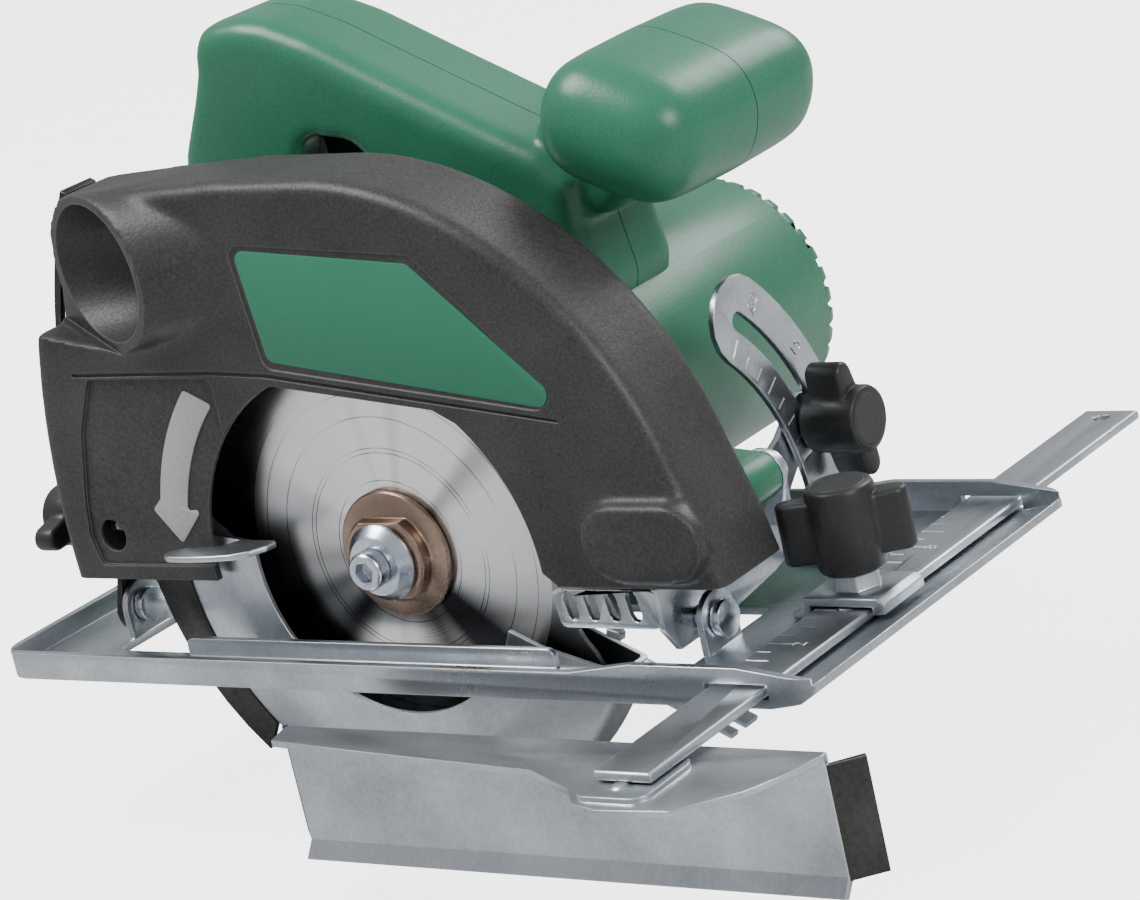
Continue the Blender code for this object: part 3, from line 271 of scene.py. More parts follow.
def spread(outline, plane, depth):
    """Outline pairs as points: (x, z) on a Y plane, (y, z) on an X plane, (x, y) on a Z plane."""
    if plane == "Y":
        return [at(u, depth, v) for u, v in outline]
    if plane == "X":
        return [at(depth, u, v) for u, v in outline]
    return [at(u, v, depth) for u, v in outline]


def draw(name, points, fill=True):
    """One vertex extruded through the points; filled, it is a flat face."""
    bpy.ops.object.select_all(action="DESELECT")
    bpy.ops.mesh.primitive_plane_add(size=0.001, location=points[0])
    piece = bpy.context.object
    piece.name = name
    start_edit(settle(piece))
    bpy.ops.mesh.select_mode(type="VERT")
    bpy.ops.mesh.select_all(action="SELECT")
    bpy.ops.mesh.merge(type="CENTER")
    for here, there in zip(points, points[1:]):
        bpy.ops.mesh.extrude_region_move(TRANSFORM_OT_translate={"value": there - here})
    if fill:
        bpy.ops.mesh.select_all(action="SELECT")
        bpy.ops.mesh.edge_face_add()
    bpy.ops.object.mode_set(mode="OBJECT")
    return piece


# %% [markdown]
# ## Tools: thickness, turning and joining
# `slab` gives an outline its thickness.  `round_over` insets the end face and moves it a little
# each time, which makes the rounded edge of a moulding.  `lathe` spins a profile.  `unite`,
# `carve` and `drill` are Boolean modifiers, applied at once; the fast solver is for dense skins.
# %% Solids from outlines
AXES = {"X": Vector((1, 0, 0)), "Y": Vector((0, 1, 0)), "Z": Vector((0, 0, 1))}
SIDES = {"X": AXES["Y"], "Y": AXES["X"], "Z": AXES["X"]}
FAST = "MANIFOLD"


def slab(name, outline, plane, low, high):
    """An outline with thickness."""
    piece = draw(name, spread(outline, plane, low))
    start_edit(piece)
    move = AXES[plane] * (high - low) * MM
    bpy.ops.mesh.extrude_region_move(TRANSFORM_OT_translate={"value": move})
    end_edit()
    return piece


def round_over(piece, plane, side, steps):
    """Inset the end face on one side and move it on, step by step: (inset, move) in mm."""
    only(piece)
    bpy.ops.object.mode_set(mode="EDIT")
    bpy.ops.mesh.select_mode(type="FACE")
    bpy.ops.mesh.select_all(action="DESELECT")
    mesh = bmesh.from_edit_mesh(piece.data)
    way = AXES[plane] * side
    flats = [face for face in mesh.faces if abs(face.normal.dot(way)) > 0.99]
    end = max(flats, key=lambda face: face.calc_center_median().dot(way))
    end.select = True
    bmesh.update_edit_mesh(piece.data)
    for inset, move in steps:
        bpy.ops.mesh.inset(thickness=inset * MM, use_even_offset=True)
        bpy.ops.transform.translate(value=way * move * MM)
    end_edit()
    return piece


def quarter(radius, count=5):
    """Inset and move steps that follow a quarter circle."""
    turns = [math.pi / 2 * i / count for i in range(count + 1)]
    insets = [radius * (1 - math.cos(t)) for t in turns]
    moves = [radius * math.sin(t) for t in turns]
    return [(b - a, d - c) for a, b, c, d in zip(insets, insets[1:], moves, moves[1:])]


def lathe(name, profile, axis, centre, steps=64, start=0.0, angle=360.0):
    """A profile of (radius, along) pairs in mm, spun round an axis through a centre."""
    if isinstance(axis, str):
        way, side = AXES[axis], SIDES[axis]
    else:
        way = Vector(axis).normalized()
        side = way.orthogonal().normalized()
    side = Matrix.Rotation(math.radians(start), 3, way) @ side
    origin = at(*centre)
    closed = all(radius > 0 for radius, along in profile)
    points = [origin + side * radius * MM + way * along * MM for radius, along in profile]
    piece = draw(name, points, fill=closed and angle < 360)
    start_edit(piece)
    if closed and angle == 360:
        bpy.ops.mesh.edge_face_add()
        bpy.ops.mesh.delete(type="ONLY_FACE")
        bpy.ops.mesh.select_all(action="SELECT")
    bpy.ops.mesh.spin(steps=steps, angle=-math.radians(angle), center=origin, axis=way)
    end_edit()
    return piece


def block(name, low, high):
    """A cube placed by two opposite corners in mm, ready to be shaped."""
    a, b = at(*low), at(*high)
    bpy.ops.object.select_all(action="DESELECT")
    bpy.ops.mesh.primitive_cube_add(size=1, location=(a + b) / 2)
    piece = bpy.context.object
    piece.name = name
    piece.scale = [abs(v) for v in (b - a)]
    return settle(piece)


def unite(piece, *others, solver="EXACT", operation="UNION"):
    """Join pieces to the first one; the others are used up."""
    for other in others:
        modify(piece, "BOOLEAN", operation=operation, solver=solver, object=other)
        bpy.data.objects.remove(other, do_unlink=True)
    return piece


def carve(piece, *others, solver="EXACT"):
    """Cut pieces out of the first one."""
    return unite(piece, *others, solver=solver, operation="DIFFERENCE")


def drill(piece, plane, centre, radius, low, high, sides):
    """Cut a round hole through a plane, from one depth to another."""
    ring = arc(*centre, radius, 0, 360 - 360 / sides, sides - 1)
    return carve(piece, slab("drill", ring, plane, low, high), solver=FAST)


def ease(piece, width, segments=2, angle=35.0):
    """Round the sharp edges with a Bevel modifier."""
    modify(piece, "BEVEL", width=width * MM, segments=segments, limit_method="ANGLE",
           angle_limit=math.radians(angle), use_clamp_overlap=True)
    return piece


def fuse(piece, voxel, smooth):
    """Remesh a union of forms into one skin and relax it, which fills the inner corners."""
    modify(piece, "REMESH", mode="VOXEL", voxel_size=voxel * MM)
    modify(piece, "SMOOTH", factor=0.5, iterations=smooth)
    return piece


def smooth(piece, angle):
    """Smooth shading up to an angle, with the piece's size in triangles printed."""
    only(piece)
    bpy.ops.object.shade_smooth_by_angle(angle=math.radians(angle))
    piece.data.calc_loop_triangles()
    print(piece.name, "triangles", len(piece.data.loop_triangles))


def finished(piece, body, slot, material, *nodes, angle=35.0):
    """Smooth shading, material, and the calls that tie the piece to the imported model."""
    smooth(piece, angle)
    piece.data.materials.clear()
    piece.data.materials.append(material)
    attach(piece, body)
    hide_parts(*nodes)
    return piece


def dressed(node, body, slot, material, width=0.3, segments=2):
    """A copy of a packed sheet-metal part, welded, with its flat faces whole and edges rounded."""
    source = frame["nodes"][node]
    only(source)
    bpy.ops.object.duplicate()
    piece = bpy.context.object
    piece.name = node + "_finished"
    piece.parent = None
    piece.hide_render = False
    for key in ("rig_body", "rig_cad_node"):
        if key in piece:
            del piece[key]
    start_edit(piece)
    bpy.ops.mesh.remove_doubles(threshold=1e-6)
    bpy.ops.mesh.dissolve_limited(angle_limit=math.radians(1.0))
    end_edit()
    ease(piece, width, segments, 30)
    return finished(piece, body, slot, material, node)


# %% [markdown]
# ## Finishes: shared effects
# Several materials need the same things: a fine moulding grain, the cloudy tone of zinc plate
# and softened edges.  Each is a node group that puts out only values or normals, so it can be
# placed in any material with its own numbers.
# %% Node groups
def group(name, inputs, outputs):
    """A shader node group with named float inputs and outputs; Rounded is a normal."""
    tree = bpy.data.node_groups.new(name, "ShaderNodeTree")
    for label, value in inputs:
        socket = tree.interface.new_socket(label, in_out="INPUT", socket_type="NodeSocketFloat")
        socket.default_value = value
    for label in outputs:
        kind = "NodeSocketVector" if label == "Rounded" else "NodeSocketFloat"
        tree.interface.new_socket(label, in_out="OUTPUT", socket_type=kind)
    return tree, tree.nodes.new("NodeGroupInput"), tree.nodes.new("NodeGroupOutput")


def maths(tree, operation, first, second=0.0, clamp=False):
    """A Math node; numbers are set and sockets are linked."""
    node = tree.nodes.new("ShaderNodeMath")
    node.operation = operation
    node.use_clamp = clamp
    for socket, value in zip(node.inputs, (first, second)):
        if isinstance(value, (int, float)):
            socket.default_value = value
        else:
            tree.links.new(value, socket)
    return node.outputs[0]


def vectors(tree, operation, first, second=None):
    """A Vector Math node; a tuple is set and a socket is linked."""
    node = tree.nodes.new("ShaderNodeVectorMath")
    node.operation = operation
    tree.links.new(first, node.inputs[0])
    if isinstance(second, tuple):
        node.inputs[1].default_value = second
    elif second:
        tree.links.new(second, node.inputs[1])
    return node.outputs["Value" if operation in ("LENGTH", "DOT_PRODUCT") else "Vector"]


def noise(tree, vector, scale, detail=3.0, rough=0.55):
    """A Noise Texture read at a vector; the scale is a number or a socket."""
    node = tree.nodes.new("ShaderNodeTexNoise")
    node.inputs["Detail"].default_value = detail
    node.inputs["Roughness"].default_value = rough
    if isinstance(scale, (int, float)):
        node.inputs["Scale"].default_value = scale
    else:
        tree.links.new(scale, node.inputs["Scale"])
    tree.links.new(vector, node.inputs["Vector"])
    return node.outputs["Fac"]


def weighted(tree, first, second, share):
    """A share of the first value and the rest of the second."""
    part = maths(tree, "MULTIPLY", first, share)
    return maths(tree, "ADD", part, maths(tree, "MULTIPLY", second, 1 - share))


def mapped(tree, vector, socket, value):
    """The same coordinates with a Scale or a Location."""
    node = tree.nodes.new("ShaderNodeMapping")
    node.inputs[socket].default_value = value
    tree.links.new(vector, node.inputs["Vector"])
    return node.outputs["Vector"]


def moulding_grain():
    """Fine spark-eroded texture with a little cloudiness."""
    inputs = [("Grain", 1600.0), ("Cloud", 45.0)]
    tree, given, made = group("moulding_grain", inputs, ["Height", "Mask"])
    place = tree.nodes.new("ShaderNodeTexCoord").outputs["Object"]
    fine = noise(tree, place, given.outputs["Grain"], 2.0)
    coarse = noise(tree, place, maths(tree, "MULTIPLY", given.outputs["Grain"], 0.37), 2.0)
    tree.links.new(weighted(tree, fine, coarse, 0.6), made.inputs["Height"])
    cloud = noise(tree, place, given.outputs["Cloud"], 5.0)
    tree.links.new(weighted(tree, cloud, fine, 0.4), made.inputs["Mask"])
    return tree


def plate_cloud():
    """Cloudy zinc: broad patches, small crystals and faint rolling marks along X."""
    inputs = [("Patch", 38.0), ("Crystal", 900.0)]
    tree, given, made = group("plate_cloud", inputs, ["Height", "Mask"])
    place = tree.nodes.new("ShaderNodeTexCoord").outputs["Object"]
    patch = noise(tree, place, given.outputs["Patch"], 6.0, 0.6)
    crystal = noise(tree, place, given.outputs["Crystal"], 2.0)
    rolled = noise(tree, mapped(tree, place, "Scale", (0.06, 1, 1)), 1500.0, 2.0)
    tree.links.new(weighted(tree, patch, crystal, 0.75), made.inputs["Mask"])
    tree.links.new(weighted(tree, crystal, rolled, 0.7), made.inputs["Height"])
    return tree


def edge_mask():
    """1 on edges and 0 on flats: how far a rounded normal leans from the real one."""
    tree, given, made = group("edge_mask", [("Radius", 0.0008)], ["Mask", "Rounded"])
    bevel = tree.nodes.new("ShaderNodeBevel")
    bevel.samples = 4
    tree.links.new(given.outputs["Radius"], bevel.inputs["Radius"])
    flat = tree.nodes.new("ShaderNodeNewGeometry").outputs["Normal"]
    agree = vectors(tree, "DOT_PRODUCT", bevel.outputs["Normal"], flat)
    lean = maths(tree, "SUBTRACT", 1.0, agree)
    tree.links.new(maths(tree, "MULTIPLY", lean, 5.0, clamp=True), made.inputs["Mask"])
    tree.links.new(bevel.outputs["Normal"], made.inputs["Rounded"])
    return tree


GRAIN = moulding_grain()
CLOUD = plate_cloud()
EDGE = edge_mask()
print("groups", [g.name for g in (GRAIN, CLOUD, EDGE)])

# %% [markdown]
# ## Finishes: building a material
# Every finish is one Principled shader with its fixed numbers on the shader itself.  Colour
# and roughness run between two values over a mask from a group.
# %% Material helper
def use(material, tree, **values):
    """Place a group in a material and set its inputs."""
    node = material.node_tree.nodes.new("ShaderNodeGroup")
    node.node_tree = tree
    for name, value in values.items():
        node.inputs[name].default_value = value
    return node


def two_tone(material, mask, low, high, socket):
    """Feed a shader socket with a colour or a number that runs from low to high over a mask."""
    tree = material.node_tree
    target = tree.nodes["Principled BSDF"].inputs[socket]
    ramp = tree.nodes.new("ShaderNodeValToRGB")
    ramp.color_ramp.elements[0].position = 0.3
    ramp.color_ramp.elements[1].position = 0.7
    for element, value in zip(ramp.color_ramp.elements, (low, high)):
        element.color = (*value, 1) if isinstance(value, tuple) else (value, value, value, 1)
    tree.links.new(mask, ramp.inputs["Fac"])
    tree.links.new(ramp.outputs["Color"], target)
    return ramp


def relief(material, height, strength, distance=0.0002):
    """A Bump node that feeds the shader's normal."""
    tree = material.node_tree
    bump = tree.nodes.new("ShaderNodeBump")
    bump.inputs["Strength"].default_value = strength
    bump.inputs["Distance"].default_value = distance
    tree.links.new(height, bump.inputs["Height"])
    tree.links.new(bump.outputs["Normal"], tree.nodes["Principled BSDF"].inputs["Normal"])
    return bump


def finish(name, metallic=0.0, **fixed):
    """A new material with one Principled shader; words become its socket names."""
    material = bpy.data.materials.new(name)
    material.use_nodes = True
    shader = material.node_tree.nodes["Principled BSDF"]
    shader.inputs["Metallic"].default_value = metallic
    for label, value in fixed.items():
        shader.inputs[label.replace("_", " ")].default_value = value
    return material


def blend_edge(material, ramp, colour, radius):
    """Lay a lighter tone over the edges of a two-tone colour."""
    tree = material.node_tree
    edge = use(material, EDGE, Radius=radius)
    mix = tree.nodes.new("ShaderNodeMix")
    mix.data_type = "RGBA"
    mix.inputs["B"].default_value = (*colour, 1)
    tree.links.new(edge.outputs["Mask"], mix.inputs["Factor"])
    tree.links.new(ramp.outputs["Color"], mix.inputs["A"])
    tree.links.new(mix.outputs["Result"], tree.nodes["Principled BSDF"].inputs["Base Color"])
    for node in tree.nodes:
        if node.type == "BUMP":
            tree.links.new(edge.outputs["Rounded"], node.inputs["Normal"])


# %% [markdown]
# ## Finish: the two plastics
# The housing is a satin green moulding with a very fine grain.  The guard and the knobs are a
# glass-filled black moulding: rougher, a little cloudy, and paler where edges are rubbed.
# %% Plastics
def plastic(name, low, high, rough, grain, depth, edge=None, gloss=0.4):
    """A moulding: two near colours, a grain, and paler edges if a colour is given for them."""
    material = finish(name, Specular_IOR_Level=gloss)
    effect = use(material, GRAIN, Grain=grain)
    ramp = two_tone(material, effect.outputs["Mask"], low, high, "Base Color")
    two_tone(material, effect.outputs["Mask"], rough + 0.05, rough - 0.05, "Roughness")
    relief(material, effect.outputs["Height"], depth)
    if edge:
        blend_edge(material, ramp, edge, 0.0006)
    return material


def grey(value):
    return value, value, value


GREEN = plastic("green_moulding", (0.020, 0.140, 0.074), (0.036, 0.190, 0.104), 0.33, 1500, 0.3)
BLACK = plastic("black_moulding", (0.012, 0.0115, 0.011), (0.052, 0.050, 0.048), 0.46, 1300, 0.6,
                edge=(0.12, 0.12, 0.115))
KNOB_BLACK = plastic("black_knob", grey(0.014), grey(0.026), 0.38, 1500, 0.25, edge=grey(0.06))
LABEL = plastic("green_label_plate", (0.040, 0.190, 0.112), (0.046, 0.204, 0.122), 0.5, 900, 0.04,
                gloss=0.15)
PALE = plastic("grey_inlay", grey(0.33), grey(0.42), 0.36, 900, 0.06)
RUBBER = plastic("black_rubber", grey(0.012), grey(0.022), 0.72, 1200, 0.3)
CARBON = plastic("carbon", grey(0.01), grey(0.03), 0.7, 1200, 0.2)
print("plastics", GREEN.name, BLACK.name)

# %% [markdown]
# ## Finish: the metals
# Zinc plate is bluish and cloudy, with crystals that break up its reflections.  Bronze, steel
# and the blackened splitter use the same effect with other colours and sizes.
# %% Metals
def metal(name, low, high, rough, vary, patch=38.0, crystal=900.0, depth=0.12, edge=None):
    """A metal: two near tones in clouds, roughness that varies with them, and worn edges."""
    material = finish(name, metallic=1.0)
    effect = use(material, CLOUD, Patch=patch, Crystal=crystal)
    ramp = two_tone(material, effect.outputs["Mask"], low, high, "Base Color")
    two_tone(material, effect.outputs["Mask"], rough + vary, rough - vary, "Roughness")
    relief(material, effect.outputs["Height"], depth, 0.0001)
    if edge:
        blend_edge(material, ramp, edge, 0.0004)
    return material


ZINC = metal("zinc_sheet", (0.36, 0.39, 0.42), (0.66, 0.69, 0.72), 0.34, 0.10, depth=0.25,
             edge=(0.86, 0.88, 0.9))
BOLT_ZINC = metal("zinc_bolt", (0.50, 0.54, 0.60), (0.68, 0.72, 0.78), 0.26, 0.06, 90, 1500, 0.1,
                  edge=(0.9, 0.92, 0.95))
STEEL = metal("turned_steel", grey(0.42), grey(0.60), 0.28, 0.06, 60, 1500)
BRONZE = metal("bronze_plate", (0.27, 0.19, 0.145), (0.40, 0.29, 0.225), 0.30, 0.07, 70, 1200,
               0.1, edge=(0.62, 0.5, 0.42))
# Also laid on the fence's bent-back end strips, where it is painted shade.
DARK_STEEL_AND_PAINTED_SHADE = metal("blackened_steel_and_painted_shade", (0.035, 0.035, 0.033), (0.085, 0.083, 0.08), 0.42, 0.08, 50, 800,
             0.25, edge=grey(0.22))
COPPER = metal("copper", (0.42, 0.19, 0.11), (0.58, 0.28, 0.17), 0.32, 0.08)
IRON = metal("laminated_iron", (0.10, 0.10, 0.11), (0.22, 0.22, 0.24), 0.5, 0.1)
print("metals", ZINC.name, BRONZE.name, DARK_STEEL_AND_PAINTED_SHADE.name)

# %% [markdown]
# ## The blade
# A disc 1.4 mm thick with raked teeth.  One tooth is worked out by formula and repeated round
# the rim, then the outline is given its thickness and its edges are eased.  The tips are small
# brazed blocks, wider than the disc.
# %% Blade outline and body
TEETH = 20
HUB = (0, 0, BLADE_Z)
BLADE_THICK = (blade_high.y - blade_low.y) / MM


def tooth(number):
    """Back, gullet and face of one tooth, as (radius drop, share of the pitch)."""
    pitch = 360 / TEETH
    curve = [(0.0, 0.0), (1.0, 0.2), (3.6, 0.44), (6.8, 0.58), (10.0, 0.68), (12.0, 0.79)]
    curve += [(11.9, 0.88), (9.6, 0.955), (5.0, 0.985), (2.4, 0.985)]
    turns = [(drop, (number + share) * pitch) for drop, share in curve]
    return [arc(0, BLADE_Z, BLADE_R - drop, turn, turn, 1)[0] for drop, turn in turns]


blade_outline = [point for number in range(TEETH) for point in tooth(number)]
blade = slab("blade_disc", blade_outline, "Y", -BLADE_THICK / 2, BLADE_THICK / 2)
carve(blade, lathe("bore", [(0, 3), (8, 3), (8, -3), (0, -3)], "Y", HUB, 48))
for number in range(TEETH):
    tip = block("tip", (BLADE_R - 4.2, -1.1, BLADE_Z - 1.9), (BLADE_R - 0.05, 1.1, BLADE_Z - 0.1))
    unite(blade, turn_about(tip, HUB, -number * 360 / TEETH, "Y"))
ease(blade, 0.12, 1, 40)

# %% [markdown]
# ## Finish: the blade's face
# The disc is ground in circles, so its grooves stretch every reflection into a fan.  That is
# what an anisotropic shader with a radial tangent does.  Noise read from the direction alone
# paints lighter and darker sectors into the colour that widen outwards, and the upper side is
# painted lighter: painted reflection fans and a painted highlight.
# Thin etched rings come from the distance to the axis, and so does a darker outer band, a painted
# shadow of the guard on the disc.
# %% Ground steel with painted reflection and shadow
RING_RADII = (18.5, 25.6, 26.8, 34.8, 41.0)
# Beyond this radius the colour is darker: a painted shadow of the guard on the disc.
PAINTED_SHADOW_RADIUS = 45.0


def blade_finish():
    material = finish("ground_blade_painted_light", metallic=1.0, Anisotropic=0.75)
    tree = material.node_tree
    shader = tree.nodes["Principled BSDF"]
    place = tree.nodes.new("ShaderNodeTexCoord").outputs["Object"]
    centred = mapped(tree, place, "Location", -at(*HUB))
    flat = vectors(tree, "MULTIPLY", centred, (1, 0, 1))
    radius = maths(tree, "DIVIDE", vectors(tree, "LENGTH", flat), MM)
    lines = 0.0
    for ring_radius in RING_RADII:
        near = maths(tree, "ABSOLUTE", maths(tree, "SUBTRACT", radius, ring_radius))
        line = maths(tree, "LESS_THAN", near, 0.11)
        lines = line if lines == 0.0 else maths(tree, "ADD", lines, line)
    comb = tree.nodes.new("ShaderNodeCombineXYZ")
    tree.links.new(radius, comb.inputs["X"])
    grooves = noise(tree, comb.outputs["Vector"], 2.6, 3.0)
    # Painted shadow: the outer band is darkened in the colour.
    painted_shadow_band = maths(tree, "GREATER_THAN", radius, PAINTED_SHADOW_RADIUS)
    # Painted reflection: sectors by direction alone and a lighter upper side go into the colour.
    direction = vectors(tree, "NORMALIZE", flat)
    painted_sheen_sectors = noise(tree, direction, 1.7, 1.0)
    height = tree.nodes.new("ShaderNodeSeparateXYZ")
    tree.links.new(direction, height.inputs["Vector"])
    painted_fan_sheen = maths(tree, "MULTIPLY", maths(tree, "SUBTRACT", painted_sheen_sectors, 0.5), 1.5)
    painted_fan_sheen = maths(tree, "ADD", painted_fan_sheen, maths(tree, "MULTIPLY", height.outputs["Z"], 0.16))
    grind_tone_and_painted_light = maths(tree, "ADD", maths(tree, "MULTIPLY", grooves, 0.14), 0.56)
    grind_tone_and_painted_light = maths(tree, "ADD", grind_tone_and_painted_light, painted_fan_sheen)
    grind_tone_and_painted_light = maths(tree, "SUBTRACT", grind_tone_and_painted_light, maths(tree, "MULTIPLY", painted_shadow_band, 0.22))
    grind_tone_and_painted_light = maths(tree, "SUBTRACT", grind_tone_and_painted_light, maths(tree, "MULTIPLY", lines, 0.3))
    two_tone(material, grind_tone_and_painted_light, (0.03, 0.032, 0.036), (0.86, 0.86, 0.86), "Base Color")
    two_tone(material, grooves, 0.34, 0.26, "Roughness")
    tangent = tree.nodes.new("ShaderNodeTangent")
    tangent.direction_type = "RADIAL"
    tangent.axis = "Y"
    tree.links.new(tangent.outputs["Tangent"], shader.inputs["Tangent"])
    return material


GROUND_STEEL_AND_PAINTED_LIGHT = blade_finish()
finished(blade, "spindle_body", "bright_steel", GROUND_STEEL_AND_PAINTED_LIGHT, "saw_blade")

# %% [markdown]
# ## Clamping parts on the spindle
# The outer flange is turned, with two flats for a spanner.  A cone washer and a bolt with a
# hexagon socket close the stack.  All three are profiles on a lathe; flats and socket are cut.
# %% Flange, washer and bolt
flange_section = [(3.4, -1.0), (15.9, -1.0), (16.3, -1.4), (16.3, -2.3), (15.9, -2.7)]
flange_section += [(12.4, -3.1), (11.7, -3.4), (11.6, -6.4), (11.1, -7.0), (3.4, -7.0)]
flange = lathe("outer_flange_turned", flange_section, "Y", HUB)
for low, high in ((-20, -9.7), (9.7, 20)):
    carve(flange, block("flat", (-20, -9, BLADE_Z + low), (20, -3.35, BLADE_Z + high)))
ease(flange, 0.25, 2, 40)
finished(flange, "spindle_body", "bronze", BRONZE, "outer_flange")
washer_section = [(3.4, -7.2), (9.4, -7.2), (9.8, -7.6), (9.8, -8.3), (9.4, -8.7)]
washer_section += [(7.9, -10.4), (7.4, -10.8), (3.4, -10.8)]
washer = lathe("cone_washer", washer_section, "Y", HUB)
finished(washer, "spindle_body", "zinc_plate", BOLT_ZINC, "blade_washer")
bolt_section = [(0, -15.2), (4.2, -15.2), (4.7, -14.8), (4.9, -14.3), (4.9, -11.0), (3.0, -11.0)]
bolt = lathe("socket_bolt", bolt_section + [(3.0, 11.0), (0, 11.0)], "Y", HUB, 48)
carve(bolt, slab("socket", arc(0, BLADE_Z, 2.9, 10, 310, 5), "Y", -16, -12.2))
ease(bolt, 0.15, 2, 50)
finished(bolt, "spindle_body", "zinc_plate", BOLT_ZINC, "blade_bolt")

# %% [markdown]
# ## The upper guard: outer form
# The fixed guard is a hollow glass-filled moulding: a flat arch with soft edges, a round chip
# tube that leaves it at a slant, and a low boss over the depth axis.  The three solids are
# joined and then fused: one remeshed skin, relaxed a little, gets the soft inner corners that
# a mould has.  Openings are cut afterwards, so their edges stay crisp.
# %% Guard: arch, tube and boss
PIVOT_X, PIVOT_Z = 88.0, 33.0
CHIP_TURN = math.radians(25.5)
CHIP_AXIS = Vector((math.cos(CHIP_TURN), math.sin(CHIP_TURN), 0))
CHIP_CENTRE = (-65.5, -11.8, 102.0)
MOUTH_TURN = 66.0
MOUTH_TRIM = 0.6
DEPTH_SCREW_Y, DEPTH_SCREW_Z = 5.5, 32.0


def rear_wall(radius, low, high, count):
    """The guard's rear wall, a circle about the depth axis."""
    rises = [low + (high - low) * i / count for i in range(count + 1)]
    return [(PIVOT_X - math.sqrt(radius ** 2 - (z - PIVOT_Z) ** 2), z) for z in rises]


arch = [(104.6, 14), (102.5, 21.5), (99.6, 34)] + arc(0, BLADE_Z, 97.5, 14, 84, 24)
arch += [(-22, 123), (-50, 122), (-77, 120.5)] + rear_wall(188, 112, 14, 10)
guard = slab("upper_guard_moulding", arch, "Y", -9.5, 11.5)
round_over(guard, "Y", -1, quarter(3.5))
round_over(guard, "Y", 1, quarter(2.5))
tube = lathe("chip_tube", [(0, -32), (20.3, -32), (20.3, 38), (0, 38)], CHIP_AXIS, CHIP_CENTRE, 48)
carve(tube, block("behind", (-140, 6, 40), (60, 80, 160)))
mouth_normal = -Vector((math.cos(math.radians(MOUTH_TURN)), math.sin(math.radians(MOUTH_TURN))))
mouth_side = Vector((-mouth_normal.y, mouth_normal.x))
middle = Vector(CHIP_CENTRE[:2]) + mouth_normal * MOUTH_TRIM
wedge = [middle + mouth_side * 60, middle - mouth_side * 60]
wedge += [corner + mouth_normal * 60 for corner in reversed(wedge)]
carve(tube, slab("mouth", wedge, "Z", 60, 140))
corner_cut = slab("corner_cut", wedge, "Z", 70, 140)
ramp = [(-140, 60), (-60, 60), (-60, 81), (-92, 87.2), (-140, 87.2)]
carve(corner_cut, slab("ramp", ramp, "Y", -90, 60))
carve(guard, corner_cut)
boss = slab("pivot_boss", capsule(78, 33.5, 92.5, 33.5, 9.5, 10), "Y", -16.6, -12.0)
round_over(boss, "Y", -1, quarter(0.8, 3))
unite(guard, tube, boss)
fuse(guard, 1.05, 8)
print("guard skin", len(guard.data.vertices))

# %% [markdown]
# ## The upper guard: openings and recesses
# The inside, the tube's bore and its slanting mouth, the window round the clamping parts, the
# sunk panels for the arrow and the label, and the screw holes are all cut from the fused skin.
# %% Guard: cuts
inside = [(100.2, 0), (97.4, 34)] + arc(0, BLADE_Z, 94.9, 12, 88, 24) + [(-30, 116), (-52, 80)]
inside += rear_wall(185.4, 80, 21.5, 8) + [(-97, 0)]
carve(guard, slab("hollow", inside, "Y", -11, 10), solver=FAST)
bore = lathe("bore", [(0, -36), (17.7, -36), (17.7, 42), (0, 42)], CHIP_AXIS, CHIP_CENTRE, 64)
carve(bore, block("behind", (-140, 9.8, 40), (60, 80, 160)))
carve(guard, bore, solver=FAST)
trimmed = [corner - mouth_normal * MOUTH_TRIM for corner in wedge]
mouth_face = slab("mouth_face", trimmed, "Z", 70, 140)
ramp = [(-140, 60), (-56, 60), (-56, 80.2), (-64, 81.6), (-92, 87.6), (-140, 87.6)]
carve(mouth_face, slab("ramp", ramp, "Y", -90, 60))
carve(guard, mouth_face, solver=FAST)
carve(guard, block("foot", (-130, -40, 0), (130, 40, 21.5)), solver=FAST)

window = arc(0, BLADE_Z, 50.3, 200, 110, 24) + [(31, 65.5)] + arc(0, BLADE_Z, 52.5, 45, 0, 16)
carve(guard, slab("window", window + [(56, 22), (58, 10), (-50, 10)], "Y", -20, -10), solver=FAST)
panel = [(-77, 75), (-84, 61), (-89, 42), (-90.3, 33), (-88.5, 25.2), (-36, 25.4), (-36, 74.5)]
label_frame = [(35, 103.2), (-20.6, 108), (-17.5, 76.6), (70.5, 63.6)]
label_bed = [(67, 69.5), (33.5, 101.2), (-19, 106.5), (-16, 78.2), (64.2, 65.4)]
ledge = [(-82, 76.6), (-36, 76.4), (-18, 75.4), (67, 62.7)]
ledge += [(67, 61.9), (-18, 74.3), (-36, 75.4), (-82, 75.6)]
for outline, depth in ((rounded(panel, 2.2), -12.0), (rounded(label_frame, 3.5), -12.65),
                       (rounded(label_bed, 3.2), -12.1), (ledge, -12.3)):
    carve(guard, slab("recess", outline, "Y", -20, depth), solver=FAST)
drill(guard, "Y", (-83, 33), 4.3, -20, -10, 36)
drill(guard, "Y", (0, BLADE_Z), 24.9, 8, 16, 36)
for spot in ((44.5, 51), (12, 74.5), (-12, 60), (-77.2, 46)):
    drill(guard, "Y", spot, 2.3, 8, 16, 36)
drill(guard, "X", (DEPTH_SCREW_Y, DEPTH_SCREW_Z), 3.3, -105, -90, 18)
finished(guard, "head", "black_plastic", BLACK, "upper_guard", angle=32)

